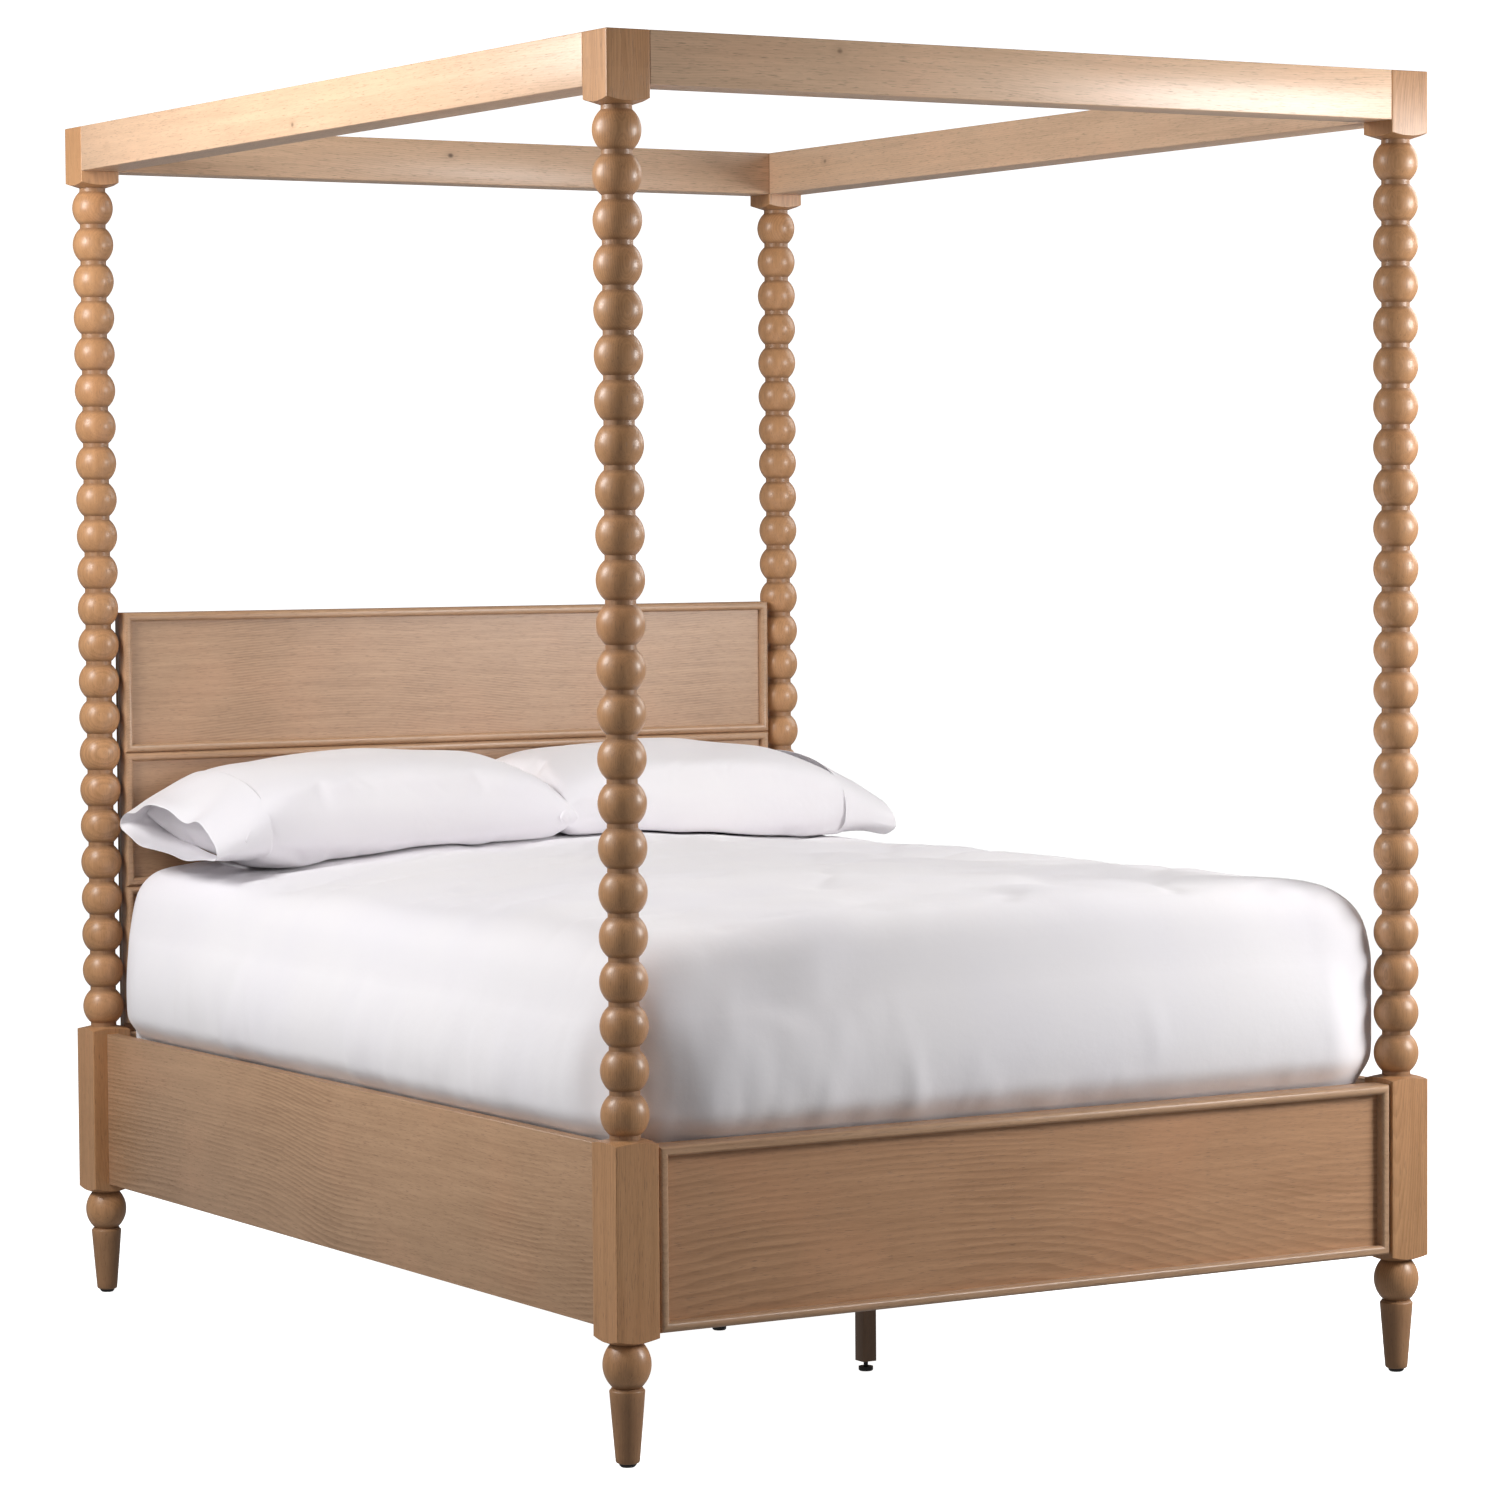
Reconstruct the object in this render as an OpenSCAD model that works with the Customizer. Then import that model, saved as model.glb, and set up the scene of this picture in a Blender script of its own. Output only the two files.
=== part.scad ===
// Four poster canopy bed in oak: bobbin-turned posts, a panelled headboard and footboard,
// a slatted base with a centre beam, and a dressed mattress.
// Millimetres, +Z up. The origin is on the floor under the middle of the bed.
// The foot of the bed faces -Y, the head faces +Y, and +X is on the right from the foot.

/* [Mattress] */
// Width of the mattress
mattress_w = 1524; // [900:1:1950]
// Length of the mattress
mattress_l = 2032; // [1690:1:2440]
// Thickness of the mattress
mattress_h = 320; // [200:1:360]
// Space between the mattress and the frame on each side
mattress_gap = 4.5; // [2:0.5:15]
// How far the underside of the mattress lies below the top of the side rails
mattress_sink = 56; // [20:1:120]

/* [Bedding] */
// Loft of the duvet on top of the mattress
duvet_loft = 95; // [40:1:130]
// Thickness of the duvet where it hangs down the sides
duvet_drop_t = 28; // [12:1:40]
// Length of each pillow, across the bed
pillow_l = 740; // [400:1:760]
// Depth of each pillow, along the bed
pillow_w = 450; // [350:1:520]
// Thickness of each pillow at its middle
pillow_h = 165; // [90:1:220]
// Space between soft pieces and whatever is next to them
soft_gap = 0.6; // [0.4:0.1:2]

/* [Post blocks] */
// Side of the square blocks on the posts
block_w = 79; // [70:1:110]
// Height of the lower block, between its corners
base_block_h = 311; // [280:1:420]
// Height of the top block, between its corners
top_block_h = 107; // [100:1:160]
// Rise of the turned shoulder above the lower block
base_shoulder_h = 7; // [4:0.5:14]
// Drop of the turned shoulder below the lower block
foot_shoulder_h = 10; // [4:0.5:14]
// Drop of the turned shoulder below the top block
top_shoulder_h = 10; // [4:0.5:14]

/* [Beads] */
// Number of beads turned on each post
bead_count = 23; // [12:1:27]
// Distance from one bead to the next
bead_pitch = 71; // [66:0.5:90]
// Diameter of a bead
bead_d = 79; // [70:1:100]
// Diameter of the neck between beads
neck_d = 50; // [44:1:58]
// Length of the plain neck at each end of the run of beads
end_neck_h = 8; // [4:0.5:20]

/* [Turned feet] */
// Height of the turned foot below the lower block's shoulder
foot_h = 199; // [160:1:240]
// Largest diameter of the ball on the foot
ball_d = 79; // [70:1:95]
// Radius of the ball's outline, which is a little taller than round
ball_round_r = 50; // [46:0.5:60]
// Diameter of the necks above and below the ball
foot_neck_d = 54; // [48:1:60]
// Height of the tapered leg
taper_h = 119; // [90:1:124]
// Diameter at the top of the tapered leg
taper_top_d = 58; // [56:1:70]
// Diameter at the bottom of the tapered leg
taper_bottom_d = 39; // [32:1:50]
// Diameter of the glide under each foot
glide_d = 28; // [20:1:30]
// Thickness of the glide that shows under the foot
glide_h = 6; // [3:0.5:10]
// Diameter of the glide's nail
glide_nail_d = 4; // [3:0.5:6]
// Length of the glide's nail
glide_nail_l = 20; // [10:1:40]

/* [Post joint] */
// Diameter of the stud that joins the upper post to the lower block
stud_d = 16; // [10:1:20]
// Length of the stud
stud_l = 104; // [60:2:110]
// Outside diameter of the bush that takes the stud
bush_d = 24; // [22:1:30]
// Radial clearance of the stud in its bush
stud_clearance = 0.2; // [0.1:0.1:0.5]

/* [Side rails] */
// Height of the side rails
side_rail_h = 296; // [200:1:300]
// Thickness of the side rails and of the head rail
side_rail_t = 25; // [20:1:32]
// How far the outer face of a side rail lies behind the face of the block
side_rail_inset = 29; // [8:1:36]
// How far the top of the rails lies below the corners of the lower block
side_rail_drop = 7; // [2:0.5:14]
// Width of the ledgers that carry the slats
ledger_w = 30; // [20:1:45]
// Height of the ledgers
ledger_h = 40; // [25:1:60]

/* [Canopy] */
// Height of the canopy rails
canopy_rail_h = 86; // [70:1:100]
// Width of the canopy rails, flush with both faces of the blocks
canopy_rail_w = 79; // [50:1:79]
// Depth of the dovetail that drops into the block
dovetail_l = 28; // [15:1:30]
// Width of the dovetail at its root
dovetail_root_w = 14; // [10:1:16]
// Width of the dovetail at its end
dovetail_end_w = 18; // [16:1:20]
// How far the dovetail stops above the underside of the rail
dovetail_stop = 14; // [5:1:30]
// Diameter of the peg through each dovetail
peg_d = 8; // [6:1:10]
// Length of the peg
peg_l = 90; // [86:1:98]

/* [Footboard] */
// Height of the footboard
footboard_h = 300; // [200:1:304]
// How far the top of the footboard lies below the corners of the lower block
footboard_drop = 5; // [0:0.5:10]
// Gap between the footboard's moulding and the blocks
footboard_gap = 3; // [1:0.5:6]
// Thickness of the board behind the footboard's panel
footboard_back_t = 16; // [12:1:20]
// How far the footboard's moulding stands proud of its panel
footboard_proud = 18; // [10:1:22]
// Setback of the footboard's moulding from the face of the blocks
footboard_setback = 0.5; // [0:0.5:6]

/* [Headboard] */
// Height of the top panel of the headboard, over its moulding
top_panel_h = 275; // [180:1:340]
// Height of the middle panel, over its moulding
middle_panel_h = 263; // [180:1:340]
// Height of the lower panel, over its moulding
lower_panel_h = 270; // [180:1:340]
// Gap between the head rail and the lower panel's moulding
headboard_lift = 17; // [0:1:40]
// Gap between each end of the headboard and the posts
headboard_gap = 2.9; // [1:0.1:8]
// How far the headboard's moulding stands forward of the posts' centre lines
headboard_forward = 30; // [24:1:38]
// How far the headboard's moulding stands proud of its panels
headboard_proud = 13; // [6:1:16]
// Thickness of the frame behind the headboard's panels
headboard_frame_t = 20; // [15:1:22]
// Width of the stiles and rails of that frame
headboard_frame_w = 70; // [50:1:100]
// Diameter of the pins from the headboard's frame into the beads
pin_d = 8; // [6:1:10]
// Length of the pins
pin_l = 60; // [30:1:80]
// Diameter of the bolts that hold the headboard's frame to the head rail
head_bolt_d = 8; // [6:1:12]

/* [Panels and mouldings] */
// Thickness of the panels
panel_t = 14; // [10:1:18]
// Width of the rounded moulding around each panel
moulding_w = 17; // [12:0.5:24]
// Depth of the mortises for the tenons of the boards
tenon_l = 32; // [20:1:34]
// Height of those tenons
tenon_h = 190; // [100:1:196]
// Thickness of those tenons
tenon_t = 10; // [8:1:12]

/* [Slats and beam] */
// Number of slats
slat_count = 10; // [8:1:10]
// Width of a slat
slat_w = 100; // [60:1:130]
// Thickness of a slat
slat_t = 19; // [14:1:25]
// Clearance at each end of a slat
slat_end_gap = 3; // [1:0.5:8]
// Width of the centre beam
beam_w = 45; // [35:1:60]
// Height of the centre beam
beam_h = 70; // [50:1:90]
// Thickness of the steel hangers at the ends of the beam
hanger_t = 2.5; // [2:0.5:4]
// Length of the hanger's seat under the beam
hanger_l = 40; // [25:1:60]

/* [Centre legs] */
// Number of legs under the centre beam
leg_count = 3; // [1:1:3]
// Side of a centre leg
leg_w = 28; // [26:1:45]
// Diameter of the round tenon on top of a centre leg
leg_tenon_d = 18; // [12:1:20]
// Length of that tenon
leg_tenon_l = 30; // [15:1:40]
// Diameter of the leveller's pad
pad_d = 26; // [20:1:40]
// Thickness of the leveller's pad
pad_h = 8; // [5:1:12]
// Gap between the pad and the leg with the bed level
pad_gap = 10; // [8:1:16]
// Diameter of the leveller's stem
stem_d = 8; // [6:1:10]
// Length of the leveller's stem
stem_l = 48; // [34:1:60]
// Outside diameter of the threaded insert in the leg
insert_d = 12; // [10:1:16]
// Length of the threaded insert
insert_l = 20; // [12:1:25]
// Radial clearance of the stem in its insert
stem_clearance = 0.08; // [0.05:0.01:0.1]

/* [Rail plates] */
// Thickness of the steel hook plates and slot plates
plate_t = 3; // [2:0.5:4]
// Height of the plates
plate_h = 150; // [120:1:180]
// Width of the plates
plate_w = 19; // [16:1:20]
// Thickness of the hooks
hook_t = 3; // [2:0.5:4]
// Clearance around a hook in its slot
hook_clearance = 0.3; // [0.2:0.1:0.6]
// Diameter of the screws that hold the plates
screw_d = 4; // [3:0.5:4]
// Length of those screws
screw_l = 30; // [16:1:32]

/* [Hidden] */
$fn = 72;
// How far a cut runs past a face, so that it opens cleanly
cut = 1;

// Levels, from the floor up
taper_top_z = glide_h + taper_h;
ball_inset = ball_round_r - ball_d / 2;
ball_half_h = sqrt(pow(ball_round_r, 2) - pow(foot_neck_d / 2 + ball_inset, 2));
ball_z = foot_h - ball_half_h;
base_bottom_z = foot_h + foot_shoulder_h;
base_top_z = base_bottom_z + base_block_h;
post_z = base_top_z + base_shoulder_h;
bead_half_h = sqrt(pow(bead_d / 2, 2) - pow(neck_d / 2, 2));
first_bead_h = end_neck_h + bead_half_h;
bead_run_h = 2 * first_bead_h + (bead_count - 1) * bead_pitch;
top_bottom_z = post_z + bead_run_h + top_shoulder_h;
top_z = top_bottom_z + top_block_h;
shoulder_reach = 6;
taper_lip = 2;
glide_bevel = 3;
rail_top_z = base_top_z - side_rail_drop;
rail_bottom_z = rail_top_z - side_rail_h;
slat_top_z = rail_top_z - mattress_sink;
slat_bottom_z = slat_top_z - slat_t;
mattress_top_z = slat_top_z + mattress_h;
duvet_top_z = mattress_top_z + duvet_loft;
beam_bottom_z = slat_bottom_z - beam_h;

// Plan sizes, worked outwards from the mattress
inner_w = mattress_w + 2 * mattress_gap;
inner_l = mattress_l + 2 * mattress_gap;
post_x = inner_w / 2 + side_rail_t + side_rail_inset - block_w / 2;
footboard_depth = footboard_setback + footboard_proud + panel_t + footboard_back_t;
post_span_l = inner_l - block_w / 2 + footboard_depth + headboard_forward;
post_y = post_span_l / 2;
block_half = block_w / 2;
peg_inset = block_half - dovetail_l / 2;
block_inner_x = post_x - block_half;
block_inner_y = post_y - block_half;
rail_x = inner_w / 2 + side_rail_t / 2;
footboard_back_y = -post_y - block_half + footboard_depth;
footboard_panel_y = footboard_back_y - footboard_back_t - panel_t;
headboard_face_y = post_y - headboard_forward;
headboard_panel_y = headboard_face_y + headboard_proud;
headboard_frame_y = headboard_panel_y + panel_t;
head_rail_y = headboard_frame_y - side_rail_t;
mattress_y = (footboard_back_y + headboard_face_y) / 2;

// Footboard and headboard
footboard_top_z = base_top_z - footboard_drop;
footboard_w = 2 * (block_inner_x - footboard_gap);
headboard_w = 2 * (block_inner_x - headboard_gap);
headboard_bottom_z = rail_top_z + headboard_lift;
panel_heights = [lower_panel_h, middle_panel_h, top_panel_h];
panel_names = ["lower", "middle", "top"];
headboard_top_z = headboard_bottom_z + lower_panel_h + middle_panel_h + top_panel_h;
frame_bottom_z = rail_bottom_z + headboard_lift;
pin_y = headboard_frame_y + headboard_frame_t / 2;
pin_beads = [3, 9];
bolt_margin = 60;
bolt_levels = [rail_bottom_z + bolt_margin, rail_top_z - bolt_margin];
bolt_head_d = 2 * head_bolt_d;
bolt_head_h = 5;
bolt_end_cover = 4;

// Rail plates, hooks and screws
hook_h = 26;
hook_reach = 9;
hook_drop = 12;
hook_levels = [-40, 40];
plate_screw_levels = [-62, 0, 62];
rail_mid_z = (rail_top_z + rail_bottom_z) / 2;
footboard_mid_z = footboard_top_z - footboard_h / 2;
pocket_margin = 1;
pocket_depth = plate_t + hook_reach + 2 * pocket_margin;

// Slats, beam and legs
slat_l = inner_w - 2 * slat_end_gap;
ledger_l = 2 * (block_inner_y - mattress_gap);
slat_space = ledger_l - slat_w - mattress_gap;
slat_first_y = -slat_space / 2;
slat_pitch = slat_space / (slat_count - 1);
slat_screw_d = 4;
slat_screw_l = 40;
slat_screw_x = inner_w / 2 - ledger_w / 2;
beam_start_y = footboard_back_y + hanger_t;
beam_end_y = head_rail_y - hanger_t;
beam_l = beam_end_y - beam_start_y;
hanger_h = hanger_t + beam_h;
hanger_flange_w = 25;
hanger_cheek_drop = 20;
leg_bottom_z = pad_h + pad_gap;
leg_socket_spare = 14;
leg_socket_h = stem_l + leg_socket_spare;
socket_clearance = 1;
pad_bevel = 2;
bush_end_gap = 2;
bush_l = stud_l / 2 + bush_end_gap;

// Corners of the soft pieces, rounded so that they pass the lower blocks
corner_passage = 14;
mattress_in_x = mattress_w / 2 - block_inner_x;
mattress_in_y = mattress_l / 2 - mattress_y - block_inner_y;
corner_sum = max(0, mattress_in_x) + max(0, mattress_in_y) + corner_passage;
corner_root = pow(corner_sum, 2) - pow(mattress_in_x, 2) - pow(mattress_in_y, 2) + pow(corner_passage, 2);
soft_corner_r = 60;
mattress_r = max(soft_corner_r, corner_sum + sqrt(max(0, corner_root)));
hem_gap = 3;
head_gap = 4;
post_margin = 2;
head_opening = 50;
duvet_start_z = max(rail_top_z, footboard_top_z) + hem_gap;
duvet_head_y = headboard_face_y - head_gap;
// The crown along a pillow rises a little past the one across it, so that they cross cleanly
pillow_end_lift = pillow_h / 20;
pillow_crown_r = crown_radius(pillow_w, pillow_h / 2);
pillow_end_r = crown_radius(pillow_l, pillow_h / 2 + pillow_end_lift);
pillow_y = duvet_head_y - pillow_w / 2 - soft_gap;
pillow_x = pillow_l / 2 + soft_gap;

corner_names = ["foot_left", "foot_right", "head_left", "head_right"];
corners = [[-1, -1], [1, -1], [-1, 1], [1, 1]];
side_names = ["left", "right"];
sides = [-1, 1];

oak = "#a47c5b";
dark_stain = "#4a3426";
pale_wood = "#cbb28c";
steel = "#b4b6b8";
linen = "#f1eef0";
black_plastic = "#1c1a19";

// ---- shared shapes ----

module at_post(corner) {
  translate([corner[0] * post_x, corner[1] * post_y, 0])
    children();
}

// A block of box size centred in X and Y, standing on z = 0
module block(size) {
  translate([-size[0] / 2, -size[1] / 2, 0])
    cube(size);
}

// Square block whose ends are turned to shoulders that run down to round necks
module turned_block(height, lower_d, lower_h, upper_d, upper_h) {
  corner_r = block_half * sqrt(2);
  reach = corner_r + shoulder_reach;
  lower_r = lower_d / 2;
  upper_r = upper_d / 2;
  lower_slope = lower_h / (corner_r - lower_r);
  upper_slope = upper_h / (corner_r - upper_r);
  intersection() {
    translate([0, 0, -lower_h])
      block([block_w, block_w, lower_h + height + upper_h]);
    rotate_extrude()
      polygon([
        [0, -lower_h],
        [lower_r, -lower_h],
        [reach, lower_slope * (reach - corner_r)],
        [reach, height - upper_slope * (reach - corner_r)],
        [upper_r, height + upper_h],
        [0, height + upper_h]
      ]);
  }
}

// Turned foot: tapered leg, groove and ball, up to the neck under the block
module turned_foot() {
  neck_r = foot_neck_d / 2;
  rotate_extrude()
    union() {
      polygon([
        [0, glide_h],
        [taper_bottom_d / 2, glide_h],
        [taper_top_d / 2, taper_top_z - taper_lip],
        [taper_top_d / 2 - taper_lip, taper_top_z],
        [0, taper_top_z]
      ]);
      translate([0, taper_top_z - cut])
        square([neck_r, foot_h - taper_top_z + cut]);
      intersection() {
        translate([0, taper_top_z])
          square([ball_d, foot_h - taper_top_z]);
        translate([-ball_inset, ball_z])
          circle(r = ball_round_r);
      }
    }
}

// Screw with a countersunk head whose face is at z = 0, pointing down
module countersunk(d, length) {
  translate([0, 0, -length])
    cylinder(d = d, h = length);
  translate([0, 0, -d / 2])
    cylinder(d1 = d, d2 = 2 * d, h = d / 2);
}

// Rounded moulding, seen end on: flat back and outer side, round front
module moulding_profile(proud) {
  round_r = moulding_w / 2;
  translate([0, panel_t + proud])
    mirror([0, 1])
      union() {
        translate([0, round_r])
          square([moulding_w, panel_t + proud - round_r]);
        translate([round_r, round_r])
          circle(r = round_r);
      }
}

// One mitred length of moulding with its outer edge on the X axis, lying along +X
module moulding_length(length, proud) {
  intersection() {
    rotate([90, 0, 90])
      linear_extrude(length)
        moulding_profile(proud);
    linear_extrude(panel_t + proud)
      polygon([[0, 0], [length, 0], [length - moulding_w, moulding_w], [moulding_w, moulding_w]]);
  }
}

// Four mitred lengths around a rectangle, standing upright with the round side facing -Y
module moulding_frame(width, height, proud) {
  rotate([90, 0, 0]) {
    for (turn = [0, 1]) {
      mirror([0, turn, 0])
        translate([-width / 2, -height / 2, 0])
          moulding_length(width, proud);
      mirror([turn, 0, 0])
        translate([width / 2, -height / 2, 0])
          rotate(90)
            moulding_length(height, proud);
    }
  }
}

// Outline of a rounded rectangle centred on the origin
module rounded_rect(width, length, r) {
  union() {
    square([width - 2 * r, length], center = true);
    square([width, length - 2 * r], center = true);
    for (x = sides, y = sides)
      translate([x * (width / 2 - r), y * (length / 2 - r)])
        circle(r = r);
  }
}

// Outline of the dovetail that points along +X from the origin
module dovetail(clearance = 0) {
  polygon([
    [0, -dovetail_root_w / 2 - clearance],
    [dovetail_l + clearance, -dovetail_end_w / 2 - clearance],
    [dovetail_l + clearance, dovetail_end_w / 2 + clearance],
    [0, dovetail_root_w / 2 + clearance]
  ]);
}

// ---- rail plates ----

// Side view of one hook, drawn with Y out of the rail and Z up
module hook_outline(clearance) {
  back = plate_t + clearance;
  polygon([
    [0, 0],
    [back, 0],
    [back, -hook_drop],
    [hook_reach, -hook_drop],
    [hook_reach, hook_h - hook_drop],
    [0, hook_h - hook_drop]
  ]);
}

// Plate let into the end of a rail, facing +Y, with its two hooks
module hook_plate() {
  difference() {
    union() {
      translate([0, -plate_t / 2, -plate_h / 2])
        block([plate_w, plate_t, plate_h]);
      for (level = hook_levels)
        translate([-hook_t / 2, 0, level])
          rotate([90, 0, 90])
            linear_extrude(hook_t)
              hook_outline(hook_clearance);
    }
    for (level = plate_screw_levels)
      translate([0, 0, level])
        rotate([-90, 0, 0])
          countersunk(screw_d, screw_l);
  }
}

// Plate let into the block, with slots for the hooks
module slot_plate() {
  slot_w = hook_t + 2 * hook_clearance;
  difference() {
    translate([0, plate_t / 2, -plate_h / 2])
      block([plate_w, plate_t, plate_h]);
    for (level = hook_levels)
      translate([0, plate_t / 2, level])
        block([slot_w, 3 * plate_t, hook_h + pocket_margin]);
    for (level = plate_screw_levels)
      translate([0, 0, level])
        rotate([90, 0, 0])
          countersunk(screw_d, screw_l);
  }
}

// Wood taken out of the end of a rail behind the hook plate, with the screws' holes
module hook_plate_recess() {
  translate([0, 0, -plate_h / 2])
    block([plate_w, 2 * plate_t, plate_h]);
  for (level = plate_screw_levels)
    translate([0, 0, level])
      rotate([-90, 0, 0])
        countersunk(screw_d, screw_l);
}

// Wood taken out of the block behind the slot plate, with the screws' holes
module slot_plate_recess() {
  translate([0, 0, -plate_h / 2])
    block([plate_w, 2 * plate_t, plate_h]);
  for (level = hook_levels)
    translate([0, pocket_depth / 2, level - hook_drop - pocket_margin])
      block([hook_t + 2 * pocket_margin, pocket_depth, hook_drop + hook_h + 2 * pocket_margin]);
  for (level = plate_screw_levels)
    translate([0, 0, level])
      rotate([90, 0, 0])
        countersunk(screw_d, screw_l);
}

// Puts its children at each end of each side rail, facing the block
module at_rail_ends() {
  for (x = sides, y = sides)
    translate([x * rail_x, y * block_inner_y, rail_mid_z])
      scale_y(y)
        children();
}

module scale_y(y) {
  mirror([0, y < 0 ? 1 : 0, 0])
    children();
}

// ---- posts ----

module base_post(corner) {
  at_foot = corner[1] < 0;
  board_y = at_foot
    ? footboard_back_y - footboard_back_t / 2
    : head_rail_y + side_rail_t / 2;
  board_mid_z = at_foot ? footboard_mid_z : rail_mid_z;
  color(oak)
    difference() {
      at_post(corner) {
        turned_foot();
        translate([0, 0, base_bottom_z])
          turned_block(base_block_h, foot_neck_d, foot_shoulder_h, neck_d, base_shoulder_h);
      }
      // Socket for the stud
      at_post(corner)
        translate([0, 0, post_z - stud_l / 2])
          cylinder(d = stud_d, h = stud_l);
      // Hole for the glide's nail
      at_post(corner)
        cylinder(d = glide_nail_d, h = glide_h + glide_nail_l);
      // Mortise for the board between the two posts
      translate([corner[0] * (block_inner_x + tenon_l / 2), board_y, board_mid_z - tenon_h / 2])
        block([tenon_l, tenon_t, tenon_h]);
      // Recess for the side rail's slot plate
      translate([corner[0] * rail_x, corner[1] * block_inner_y, rail_mid_z])
        scale_y(corner[1])
          slot_plate_recess();
    }
}

module upper_post(corner) {
  color(oak)
    difference() {
      at_post(corner) {
        translate([0, 0, post_z])
          rotate_extrude()
            intersection() {
              square([bead_d, bead_run_h]);
              union() {
                square([neck_d / 2, bead_run_h]);
                for (i = [0:bead_count - 1])
                  translate([0, first_bead_h + i * bead_pitch])
                    circle(d = bead_d);
              }
            }
        translate([0, 0, top_bottom_z])
          turned_block(top_block_h, neck_d, top_shoulder_h, block_w, 0);
      }
      // Socket for the bush
      at_post(corner)
        translate([0, 0, post_z - cut])
          cylinder(d = bush_d, h = bush_l + cut);
      // Housings for the two canopy rails and holes for their pegs
      at_post(corner)
        for (turn = [0, 90])
          canopy_housing(turn == 0 ? [-corner[0], 0] : [0, -corner[1]]);
      // Holes for the pins of the headboard
      if (corner[1] > 0)
        for (bead = pin_beads)
          headboard_pin(corner[0], bead);
    }
}

// Housing and peg hole in a block whose post stands at the origin; dir points along the rail
module canopy_housing(dir) {
  rotate(atan2(dir[1], dir[0])) {
    translate([block_half, 0, top_z - canopy_rail_h + dovetail_stop])
      linear_extrude(canopy_rail_h)
        mirror([1, 0])
          dovetail();
    translate([peg_inset, 0, top_z - peg_l])
      cylinder(d = peg_d, h = peg_l + cut);
  }
}

// ---- canopy ----

// Rail of a clear length between the blocks, along X, with a dovetail on each end
module canopy_beam(clear) {
  difference() {
    union() {
      translate([0, 0, top_z - canopy_rail_h])
        block([clear, canopy_rail_w, canopy_rail_h]);
      for (end = [0, 1])
        mirror([end, 0, 0])
          translate([clear / 2, 0, top_z - canopy_rail_h + dovetail_stop])
            linear_extrude(canopy_rail_h - dovetail_stop)
              dovetail();
    }
    for (x = sides)
      translate([x * (clear / 2 + dovetail_l / 2), 0, top_z - peg_l])
        cylinder(d = peg_d, h = peg_l + cut);
  }
}

module canopy_cross_rail(side) {
  color(oak)
    translate([0, side * post_y, 0])
      canopy_beam(2 * block_inner_x);
}

module canopy_side_rail(side) {
  color(oak)
    translate([side * post_x, 0, 0])
      rotate(90)
        canopy_beam(2 * block_inner_y);
}

module canopy_pegs() {
  color(pale_wood)
    for (corner = corners, dir = [[-corner[0], 0], [0, -corner[1]]])
      at_post(corner)
        translate([dir[0] * peg_inset, dir[1] * peg_inset, top_z - peg_l])
          cylinder(d = peg_d, h = peg_l);
}

// ---- rails ----

module side_rail(side) {
  color(oak)
    difference() {
      translate([side * rail_x, 0, rail_bottom_z])
        block([side_rail_t, 2 * block_inner_y, side_rail_h]);
      for (y = sides)
        translate([side * rail_x, y * block_inner_y, rail_mid_z])
          scale_y(y)
            hook_plate_recess();
    }
}

module ledger(side) {
  color(pale_wood)
    difference() {
      translate([side * (inner_w / 2 - ledger_w / 2), 0, slat_bottom_z - ledger_h])
        block([ledger_w, ledger_l, ledger_h]);
      slat_screw_holes();
    }
}

// Board with a tenon on each end, centred on X, standing on z = 0
module tenoned_board(thickness, height, tenon_z) {
  block([2 * block_inner_x, thickness, height]);
  translate([0, 0, tenon_z])
    block([2 * (block_inner_x + tenon_l), tenon_t, tenon_h]);
}

module head_rail() {
  color(oak)
    difference() {
      translate([0, head_rail_y + side_rail_t / 2, rail_bottom_z])
        tenoned_board(side_rail_t, side_rail_h, (side_rail_h - tenon_h) / 2);
      headboard_bolt_set();
    }
}

// ---- footboard ----

module footboard_back() {
  color(oak)
    translate([0, footboard_back_y - footboard_back_t / 2, footboard_top_z - footboard_h])
      tenoned_board(footboard_back_t, footboard_h, (footboard_h - tenon_h) / 2);
}

module footboard_panel() {
  color(oak)
    translate([0, footboard_panel_y + panel_t / 2, footboard_top_z - footboard_h + moulding_w])
      block([footboard_w - 2 * moulding_w, panel_t, footboard_h - 2 * moulding_w]);
}

module footboard_moulding() {
  color(oak)
    translate([0, footboard_panel_y + panel_t, footboard_top_z - footboard_h / 2])
      moulding_frame(footboard_w, footboard_h, footboard_proud);
}

// ---- headboard ----

// Height of the underside of a panel's moulding
function panel_bottom_z(i) = headboard_bottom_z + (i > 0 ? lower_panel_h : 0) + (i > 1 ? middle_panel_h : 0);

module headboard_panel(i) {
  color(oak)
    translate([0, headboard_panel_y + panel_t / 2, panel_bottom_z(i) + moulding_w])
      block([headboard_w - 2 * moulding_w, panel_t, panel_heights[i] - 2 * moulding_w]);
}

module headboard_moulding(i) {
  color(oak)
    translate([0, headboard_frame_y, panel_bottom_z(i) + panel_heights[i] / 2])
      moulding_frame(headboard_w, panel_heights[i], headboard_proud);
}

// Ladder frame that the three panels are fixed to, with legs down to the head rail
module headboard_frame() {
  stile_x = headboard_w / 2 - headboard_frame_w / 2;
  clear_w = headboard_w - 2 * headboard_frame_w;
  color(oak)
    difference() {
      translate([0, pin_y, 0]) {
        for (x = sides)
          translate([x * stile_x, 0, frame_bottom_z])
            block([headboard_frame_w, headboard_frame_t, headboard_top_z - frame_bottom_z]);
        for (z = [
          headboard_bottom_z,
          panel_bottom_z(1) - headboard_frame_w / 2,
          panel_bottom_z(2) - headboard_frame_w / 2,
          headboard_top_z - headboard_frame_w
        ])
          translate([0, 0, z])
            block([clear_w, headboard_frame_t, headboard_frame_w]);
      }
      headboard_bolt_set();
      for (x = sides, bead = pin_beads)
        headboard_pin(x, bead);
    }
}

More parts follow.
